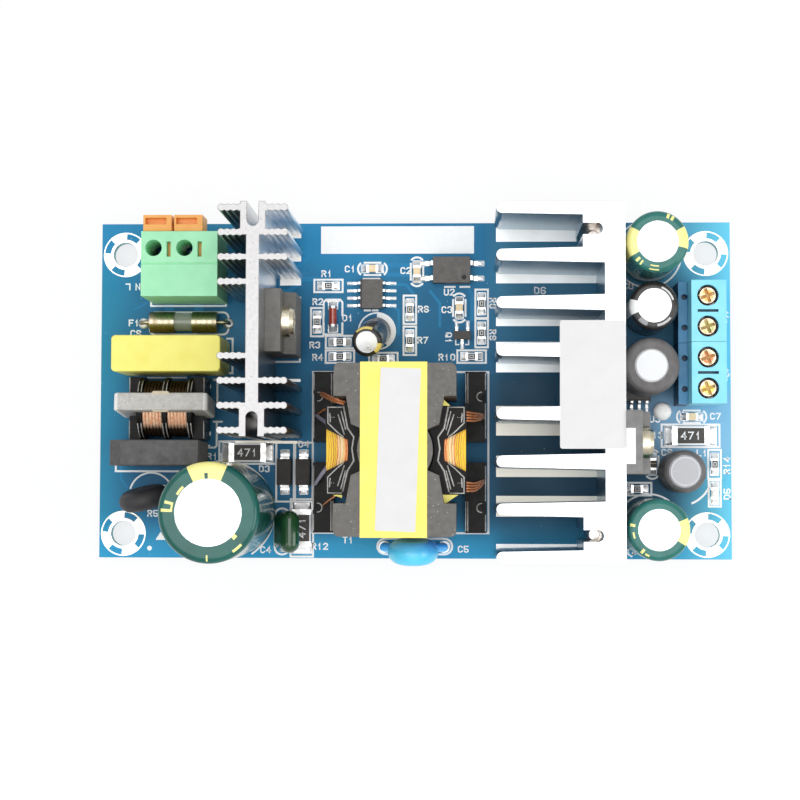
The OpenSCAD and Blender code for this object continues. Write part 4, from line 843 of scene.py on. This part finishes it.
# Mains side: terminal, fuse, choke, bridge, thermistor and large capacitor
silk.line([(-45.0, 15.7), (-45.0, 15.0), (-32.15, 15.0), (-32.15, 15.7)])
silk.line(rounded_outline(-38.45, 12.0, 13.5, 3.8, 0.9), closed=True)
silk.line([(-31.9, 9.4), (-30.95, 9.4), (-30.95, 3.5), (-31.9, 3.5)])
silk.line([(-45.4, 2.72), (-38.9, 2.72)], 0.25)
silk.line([(-34.1, 2.35), (-33.5, 2.35), (-33.5, -1.5)])
silk.line([(-34.1, -4.8), (-32.7, -4.8)])
silk.line([(-36.5, -8.9), (-34.85, -8.9), (-34.85, -9.2), (-33.9, -9.2), (-33.56, -8.9), (-33.56, -4.85)])
silk.line([(-50.8, -12.4), (-50.8, -13.25), (-40.1, -13.25)])
silk.line([(-36.4, -9.3), (-35.7, -9.3), (-35.7, -11.6)])
silk.ring(-44.7, -17.2, 3.55, 3.85, 20, 165)
silk.ring(-32.2, -20.05, 8.45, 8.75, -57, 237)
silk.fill([(-26.1, -17.7), (-25.2, -17.2), (-26.0, -16.6)])
silk.ring(-25.1, -20.6, 0.5, 0.75)
silk.fill([(-43.9, -24.9), (-42.2, -24.9), (-43.0, -23.5)])
silk.fill(arc(-44.9, -26.3, 0.42, 0, 330, 30))
silk.line(rounded_outline(-22.3, -23.4, 2.5, 7.8, 1.2), closed=True)
silk.line([(-30.5, -11.95), (-23.6, -11.95)])

# Primary heatsink and its transistor
for y0, y1 in ((26.6, 27.9), (22.6, 23.9), (18.5, 19.9), (2.0, 2.5)):
    plated.bar(-22.9, y0, -19.3, y1)
plated.bar(-30.4, -8.5, -19.8, -8.05)
silk.line([(-23.9, 5.42), (-19.45, 5.42), (-19.45, 5.9)])
silk.line([(-19.45, 15.8), (-19.45, 16.4)])
silk.line([(-23.9, 17.6), (-23.9, 19.3)])

# Control side
silk.ring(-6.3, 10.65, 2.2, 3.25, -55, 90)
silk.ring(-6.3, 10.65, 3.0, 3.25, 90, 305)
for x0, x1, y in ((5.3, 6.9, 18.2), (7.9, 9.4, 18.2), (-8.6, -5.9, 19.6), (-8.4, -7.5, 14.2),
                  (-7.0, -6.2, 14.2)):
    silk.line([(x0, y), (x1, y)])
silk.line([(-15.4, 13.4), (-15.4, 15.6), (-15.0, 16.05), (-12.6, 16.05), (-12.2, 15.6), (-12.2, 13.4)])
silk.bar(-14.9, 15.6, -12.7, 16.1)
silk.line([(7.1, 9.3), (7.1, 8.35), (7.6, 8.35)], 0.22)
silk.line([(8.8, 8.35), (9.3, 8.35), (9.3, 9.3)], 0.22)
silk.line([(-15.4, 12.0), (-15.4, 10.1), (-12.2, 10.1), (-12.2, 12.0)])

# Transformer and safety capacitor
silk.frame(-2.26, -9.97, 29.8, 27.3)
silk.line(rounded_outline(0.2, -25.87, 12.65, 2.62, 1.3), 0.36, True)
for s, start in ((-1, 70), (1, -110)):
    silk.ring(0.2 + s * 5.1, -25.87, 0.62, 0.92, start, start + 220)

# Secondary heatsink: tinned bars under the gaps between its fins
for y0, y1, x1 in ((25.9, 29.0, 27.6), (18.8, 22.4, 31.0), (11.5, 15.1, 31.0), (3.63, 8.8, 31.0),
                   (-7.1, -2.1, 31.0), (-14.1, -10.5, 31.0), (-20.8, -17.3, 31.0), (-27.8, -25.4, 27.6)):
    plated.bar(13.95, y0, x1, y1)
silk.line([(31.1, -24.5), (31.1, 25.0)], 0.2)

# Output side
silk.ring(*OUT_N, 5.5, 5.8, 118, 422)
silk.ring(*OUT_S, 5.5, 5.8, -60, 240)
silk.ring(*COIL_2, 5.55, 5.9, -68, -22)
silk.piece("silkscreen", ink)
plated.piece("tinned_copper", tin)

# Copper under the mask
copper_lines = Print(TOP, 0.012)
for points, width in (
    ([(-4.4, 21.9), (-0.8, 21.9)], 0.7), ([(-4.6, 20.3), (-0.6, 20.3)], 0.7),
    ([(-16.9, 19.6), (-19.0, 19.6), (-21.5, 17.4), (-23.0, 17.4)], 0.8),
    ([(-4.0, 18.6), (-1.4, 18.6), (-0.2, 17.2), (-0.2, 16.6)], 0.5),
    ([(-4.0, 15.2), (-2.6, 14.2), (-2.6, 10.2)], 0.45), ([(2.8, 17.4), (4.4, 15.4), (4.4, 11.6)], 0.5),
    ([(9.4, 17.6), (9.9, 16.9), (9.9, 12.6)], 0.6), ([(-47.8, 14.4), (-45.6, 15.6)], 0.3),
    ([(-41.9, 14.6), (-41.9, 13.8)], 1.6), ([(-36.8, 14.6), (-36.8, 13.8)], 1.6),
    ([(42.6, -5.6), (47.6, -6.2)], 0.5), ([(49.4, -4.9), (49.4, -6.9)], 0.4),
    ([(41.2, -8.6), (43.4, -11.0)], 0.35), ([(45.6, -18.4), (48.6, -18.4)], 1.6),
    ([(-20.0, 21.6), (-18.0, 23.4), (-18.0, 25.0)], 0.8),
    ([(-49.9, -12.5), (-49.9, -14.6), (-48.9, -15.9)], 0.3),
):
    copper_lines.line(points, width)
copper_lines.piece("traces", trace, "board_blue")

# Pads and solder at the surface-mounted parts
PAD = 0.05  # thickness of a tinned pad, mm
pads = Print(TOP, PAD)
fillets = Build()


def every(*names):
    return [box for name in names for box in islands(name)]


def outside(box, point):
    """How far the point lies outside the box along x and y."""
    return [max(box[0][i] - point[i], 0, point[i] - box[1][i]) for i in (0, 1)]


def lie(box, step, along_x):
    """Turn of a lead or end that lies a step away from its body, and its depth and width that way."""
    size = box[1] - box[0]
    if along_x:
        return 0 if step.x > 0 else 180, size.x, size.y
    return 90 if step.y > 0 else 270, size.y, size.x


BODIES = every("chip_resistors", "chip_capacitors", "indicator_led", "glass_diode")
for box in CHIP_ENDS:
    centre = middle(box)
    step = centre - middle(min(BODIES, key=lambda b: (middle(b) - centre).length))
    turn, depth, width = lie(box, step, abs(step.x) > abs(step.y))
    reach = 0.95 if width < 2 else 1.25
    pad, = placed([(depth / 2 + reach / 2 - 0.25, 0)], centre, turn)
    joint, = placed([(depth / 2 + reach / 2 - 0.05, 0)], centre, turn)
    pads.fill(rounded_outline(*pad, reach + 0.5, width + 0.2, 0.15, turn))
    tall = (box[1].z - TOP) * 0.7
    fillets.mound(joint, TOP + PAD, (reach, width + 0.05), turn,
                  lambda a, b: tall * ((1 - a) / 2) ** 2 * (1 - b ** 6) + 0.08 * (1 - a * a) * (1 - b ** 4))

CHIPS = every("sop_chips", "optocoupler", "voltage_reference", "power_diodes")
for box in islands("surface_leads"):
    centre = middle(box)
    body = min(CHIPS, key=lambda b: sum(outside(b, centre)))
    gap = outside(body, centre)
    turn, depth, width = lie(box, centre - middle(body), gap[0] > gap[1])
    reach = 1.5 if width < 1 else 1.1
    tip, = placed([(depth / 2 - 0.4 + reach / 2, 0)], centre, turn)
    pads.fill(rounded_outline(*tip, reach, width + 0.1, 0.12, turn))
    fillets.mound(tip, TOP + PAD, (reach - 0.1, width + 0.05), turn,
                  lambda a, b: 0.22 * (1 - a * a) * (1 - b ** 4) * (0.75 - 0.35 * a))

# Plated rings at the through holes
for box in every("component_leads", "transistor_leads"):
    pads.ring(*middle(box).xy, 0.5, 1.0)
pads.piece("solder_pads", solder, "solder")
fillets.piece("solder_fillets", solder, "solder")

# Pale ceramic edges and printed frames on the resistors, plain numbers on the large ones
marks = Build()
for z, centre, turn, length, width in RESISTORS:
    mark = Print(z - 0.005, 0.02)
    edge, share = (0.16, 0.6) if length < LARGE else (0.28, 0.76)
    for s in (-1, 1):
        spot, = placed([(0, s * (width - edge) / 2)], centre, turn)
        mark.fill(box_outline(*spot, length * share, edge, turn))
    if length < LARGE:
        mark.frame(*centre, 0.62, 0.4, turn, 0.1)
    else:
        mark.text("471", *centre, 1.15, turn, 0.21)
    marks.solid([p / MM for p in mark.points], mark.faces)
marks.piece("chip_marks", ink)

# Pin mark on the optocoupler
pin_mark = Build()
z = islands("optocoupler")[0][1].z
pin_mark.lathe((8.5, 19.55), z, [(0, -0.1), (0.36, -0.1), (0.36, 0.01), (0, 0.01)])
pin_mark.piece("pin_mark", diode_black)


# Transformer

# Upper faces of its cheeks, its winding and its pin rails, in mm
CHEEK_Z = 21.4
WIND_Z = 20.5
RAIL_Z = 5.2


def around_tr(points, z, s=1, t=1):
    """Points given from the transformer's middle, mirrored by the signs s and t, at one height."""
    return [(TR[0] + s * u, TR[1] + t * v, z) for u, v in points]


def curve_tr(points, steps):
    """Smooth curve through points given from the transformer's middle."""
    return smooth_path([(TR[0] + u, TR[1] + v, z) for u, v, z in points], steps)


# Pale tubes along the bobbin's rims and ribs and along the rails' edges: painted highlights on black plastic
RIM = [(8.3, 7.0), (7.65, 3.5), (6.65, 2.05), (6.95, 0.2), (6.65, -1.7), (7.65, -3.3), (8.4, -6.6)]
RIBS = [
    (CHEEK_Z, 0.11, [[(9.2, 5.7), (8.15, 2.4)], [(8.7, 6.2), (7.95, 3.2)], [(10.5, 5.9), (10.4, 4.4)],
                     [(8.5, 6.8), (10.8, 6.8), (10.8, 4.3), (9.3, 2.85), (8.3, 2.05)]]),
    (RAIL_Z, 0.09, [[(u, 8.2), (u, 13.2)] for u in (11.1, 11.45)]),
    (RAIL_Z, 0.1, [[(14.4, 2.3), (14.4, 8.2)], [(14.4, 10.4), (14.4, 13.2)],
                   arc(13.7, 9.3, 0.75, 80, 280, 20)]),
    (CHEEK_Z, 0.07, [[(u, 5.2), (u + 0.12, 5.2)] for u in (9.75, 10.1, 10.45)]),
]
ribs = Build()
for s in (-1, 1):
    ribs.tube(around_tr(RIM, CHEEK_Z, s), 0.15)
    for t in (-1, 1):
        for z, radius, paths in RIBS:
            for path in paths:
                ribs.tube(around_tr(path, z, s, t), radius)
ribs.piece("bobbin_ribs", glossy_edge, "bobbin_black")

# Outer tape of the winding, flat between the cheeks, and its ends at the steps of the core
wrap = Build()
for s in (-1, 1):
    corners = ((s * 9.9, -3.8), (s * 11.1, -3.55), (s * 11.1, 3.55), (s * 9.9, 3.8))
    wrap.prism(placed(corners, TR, 0), 11.0, WIND_Z + 0.02)
wrap.piece("winding_tape", winding, "tape_yellow")
ends = Build()
for corners in (((7.2, -7.05), (9.9, -7.05), (7.2, -8.9)), ((7.3, 7.05), (8.6, 7.05), (7.3, 8.3)),
                ((-8.5, -7.1), (-10.0, -7.1), (-8.5, -7.6))):
    ends.prism(placed(corners, TR, 0), 20.9, CHEEK_Z + 0.15)
ends.piece("tape_ends", tape, "tape_yellow")

turns = Build()
for s in (-1, 1):
    for start, radius in ((7.72, 0.16), (8.02, 0.12), (8.88, 0.05), (9.27, 0.07)):
        path = [(start + BOW * v * v, v) for v in (k * 0.25 - 2.0 for k in range(17))]
        turns.tube(around_tr(path, WIND_Z, s), radius)
turns.piece("winding_turns", copper, "copper_wire")

# Lead-outs: two bundles of four on the east side, single wires and sleeved ends on the west
leads = Build()
for t, start, end in ((1, 5.55, 6.0), (-1, 5.8, 4.9)):
    for k in range(4):
        off = (k - 1.5) * 0.45
        path = [(10.2, start + off, 16.4), (11.4, start + off, 16.2), (12.6, start + off * 0.9, 13.4),
                (13.5, (start + end) / 2 + off * 0.7, 9.4), (14.1, end + off * 0.4, RAIL_Z + 0.35)]
        leads.tube(curve_tr([(u, t * v, z) for u, v, z in path], 5), 0.16)
for path, radius in (([(-8.3, 7.9, 15.0), (-10.3, 8.5, 14.4), (-12.4, 9.6, 9.0), (-13.2, 9.9, 5.5)], 0.22),
                     ([(-8.3, 7.5, 15.0), (-10.4, 8.1, 14.2), (-12.6, 9.2, 8.6), (-13.3, 9.7, 5.5)], 0.22),
                     ([(-11.4, 7.4, 10.0), (-12.6, 6.9, 8.0), (-13.8, 6.2, 5.5)], 0.16),
                     ([(-9.9, -7.1, 13.0), (-11.4, -8.0, 10.0), (-12.8, -8.9, 5.5)], 0.14)):
    leads.tube(curve_tr(path, 6), radius)
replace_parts(leads.piece("winding_leads", copper, "copper_wire"), "transformer_leadouts")
sleeves = Build()
for path in ([(-10.9, 4.2, 15.5), (-12.3, 5.0, 11.0), (-13.9, 6.1, 5.5)],
             [(-10.9, -2.1, 15.5), (-12.6, -3.8, 11.0), (-14.1, -5.4, 5.5)]):
    sleeves.tube(curve_tr(path, 6), 0.33)
sleeves.piece("lead_sleeves", lavender)


# Labels, tape and drops

def plate(name, look, outline, z0, z1):
    build = Build()
    build.prism(outline, z0, z1)
    build.piece(name, look)


plate("transformer_label", paper, rounded_outline(-1.8, -10.0, 6.3, 25.5, 0.15, -1.9), 25.76, 25.86)
plate("heatsink_sticker", paper, rounded_outline(28.98, 0.55, 10.45, 20.5, 0.4), 19.6, 19.7)
plate("choke_band", cream, rounded_outline(CHOKE[0], -2.0, 2.85, 3.4, 0.4), 15.0, 15.45)

# Painted highlights on the choke's bobbin: pale tubes along the edges of its two end blocks and three round
# cheeks
choke_highlights = Build()
for x in (-47.1, -34.7):
    for y0, y1 in ((-7.9, -4.9), (-0.2, 2.3)):
        choke_highlights.tube([(x, y0, 9.1), (x, y1, 9.1)], 0.09)
for x in (-45.3, -44.75, -41.2, -40.6, -37.05, -36.5):
    for start, end in ((195, 240), (300, 330)):
        choke_highlights.tube([(x, CHOKE[1] + dy, 7.1 - dz) for dy, dz in arc(0, 0, 5.2, start, end)], 0.08)
choke_highlights.piece("choke_edges", glossy_edge, "bobbin_black")

drop = Build()
drop.lathe((41.95, -3.0), TOP, [(0, 0), (1.5, 0), (1.55, 0.3), (1.35, 0.8), (0.9, 1.05), (0, 1.15)])
drop.piece("glue_dot", glue)

blobs = Build()
for x in (-46.2, -31.7):
    blobs.lathe((x, 12.0), TOP, [(0, 0), (0.95, 0), (0.93, 0.1), (0.7, 0.25), (0.4, 0.32), (0, 0.35)])
blobs.piece("fuse_solder", tin, "solder")


# Floor: white where it is seen itself, a little darker through the mounting holes, and shaded by the part

FLOOR_Z = -2.51 * MM
FLOOR_R = 3.0  # half of its side, m
OPEN_GLOW = 0.88
HOLE_GLOW = 0.74
floor_mesh = bpy.data.meshes.new("floor")
floor_mesh.from_pydata([(x * FLOOR_R, y * FLOOR_R, FLOOR_Z) for x, y in ((-1, -1), (1, -1), (1, 1), (-1, 1))],
                       [], [[0, 1, 2, 3]])
floor = put("floor", floor_mesh)

white = Look("floor_white", (250, 250, 251), 0.9)
white.mottle((246, 247, 248), 40.0, 0.5)
rays = white.add("ShaderNodeLightPath").outputs
seen = white.either(rays["Is Camera Ray"], rays["Is Glossy Ray"], rays["Is Transmission Ray"])
under = white.block(x=(-52.5, 52.5), y=(-27.8, 27.8))
share = white.both(seen, white.span(under, OPEN_GLOW, HOLE_GLOW, 0.0, 1.0))
white.blend(share, white.shader, white.add("ShaderNodeEmission"), "Material Output")
floor_mesh.materials.append(white.material)

# World: soft light, white to the camera, and for reflections a sky that is brightest overhead
AMBIENT = 0.62
HORIZON = 0.45
world = bpy.data.worlds.new("studio")
bpy.context.scene.world = world
world.use_nodes = True
sky = Nodes(world.node_tree)
soft = sky.tree.nodes["Background"]
sky.feed(soft, Color=(0.96, 0.98, 1.0, 1.0), Strength=AMBIENT)
rays = sky.add("ShaderNodeLightPath").outputs
heading = sky.add("ShaderNodeSeparateXYZ", Vector=sky.add("ShaderNodeTexCoord").outputs["Generated"])
overhead = sky.span(heading.outputs["Z"], HORIZON, 1.0, 0.0, 1.0)
direct = sky.either(rays["Is Camera Ray"], rays["Is Transmission Ray"])
bright = sky.add("ShaderNodeBackground", Color=(1.0, 1.0, 1.0, 1.0), Strength=sky.either(direct, overhead))
sky.blend(sky.either(direct, rays["Is Glossy Ray"]), soft, bright, "World Output")


def area_lamp(name, place, aim, size, power):
    lamp = bpy.data.lights.new(name, "AREA")
    lamp.shape = "RECTANGLE"
    lamp.size, lamp.size_y = size
    lamp.energy = power
    thing = put(name, lamp)
    thing.location = place
    thing.rotation_euler = (Vector(aim) - Vector(place)).to_track_quat("-Z", "Y").to_euler()


area_lamp("key", place=(-0.05, -0.06, 0.8), aim=(0, 0, 0), size=(0.9, 0.7), power=3.9)
area_lamp("side", place=(0.5, -0.1, 0.34), aim=(0.03, 0, 0), size=(0.3, 0.3), power=0.9)

# Camera: focal length in pixels of the 800 pixel frame, place in mm, turn in radians
FOCUS = 1769.67
FRAME = 800
SENSOR = 36
EYE = (8.255, -15.783, 301.6)
EYE_TURN = (0.04902, 0.03523, 0.0022)
camera = bpy.data.cameras.new("camera")
camera.sensor_width = SENSOR
camera.lens = FOCUS / FRAME * SENSOR
camera.clip_start = 0.01
eye = put("camera", camera)
eye.location = Vector(EYE) * MM
eye.rotation_euler = Euler(EYE_TURN, "XYZ")
bpy.context.scene.camera = eye

bpy.context.scene.view_settings.view_transform = "Standard"
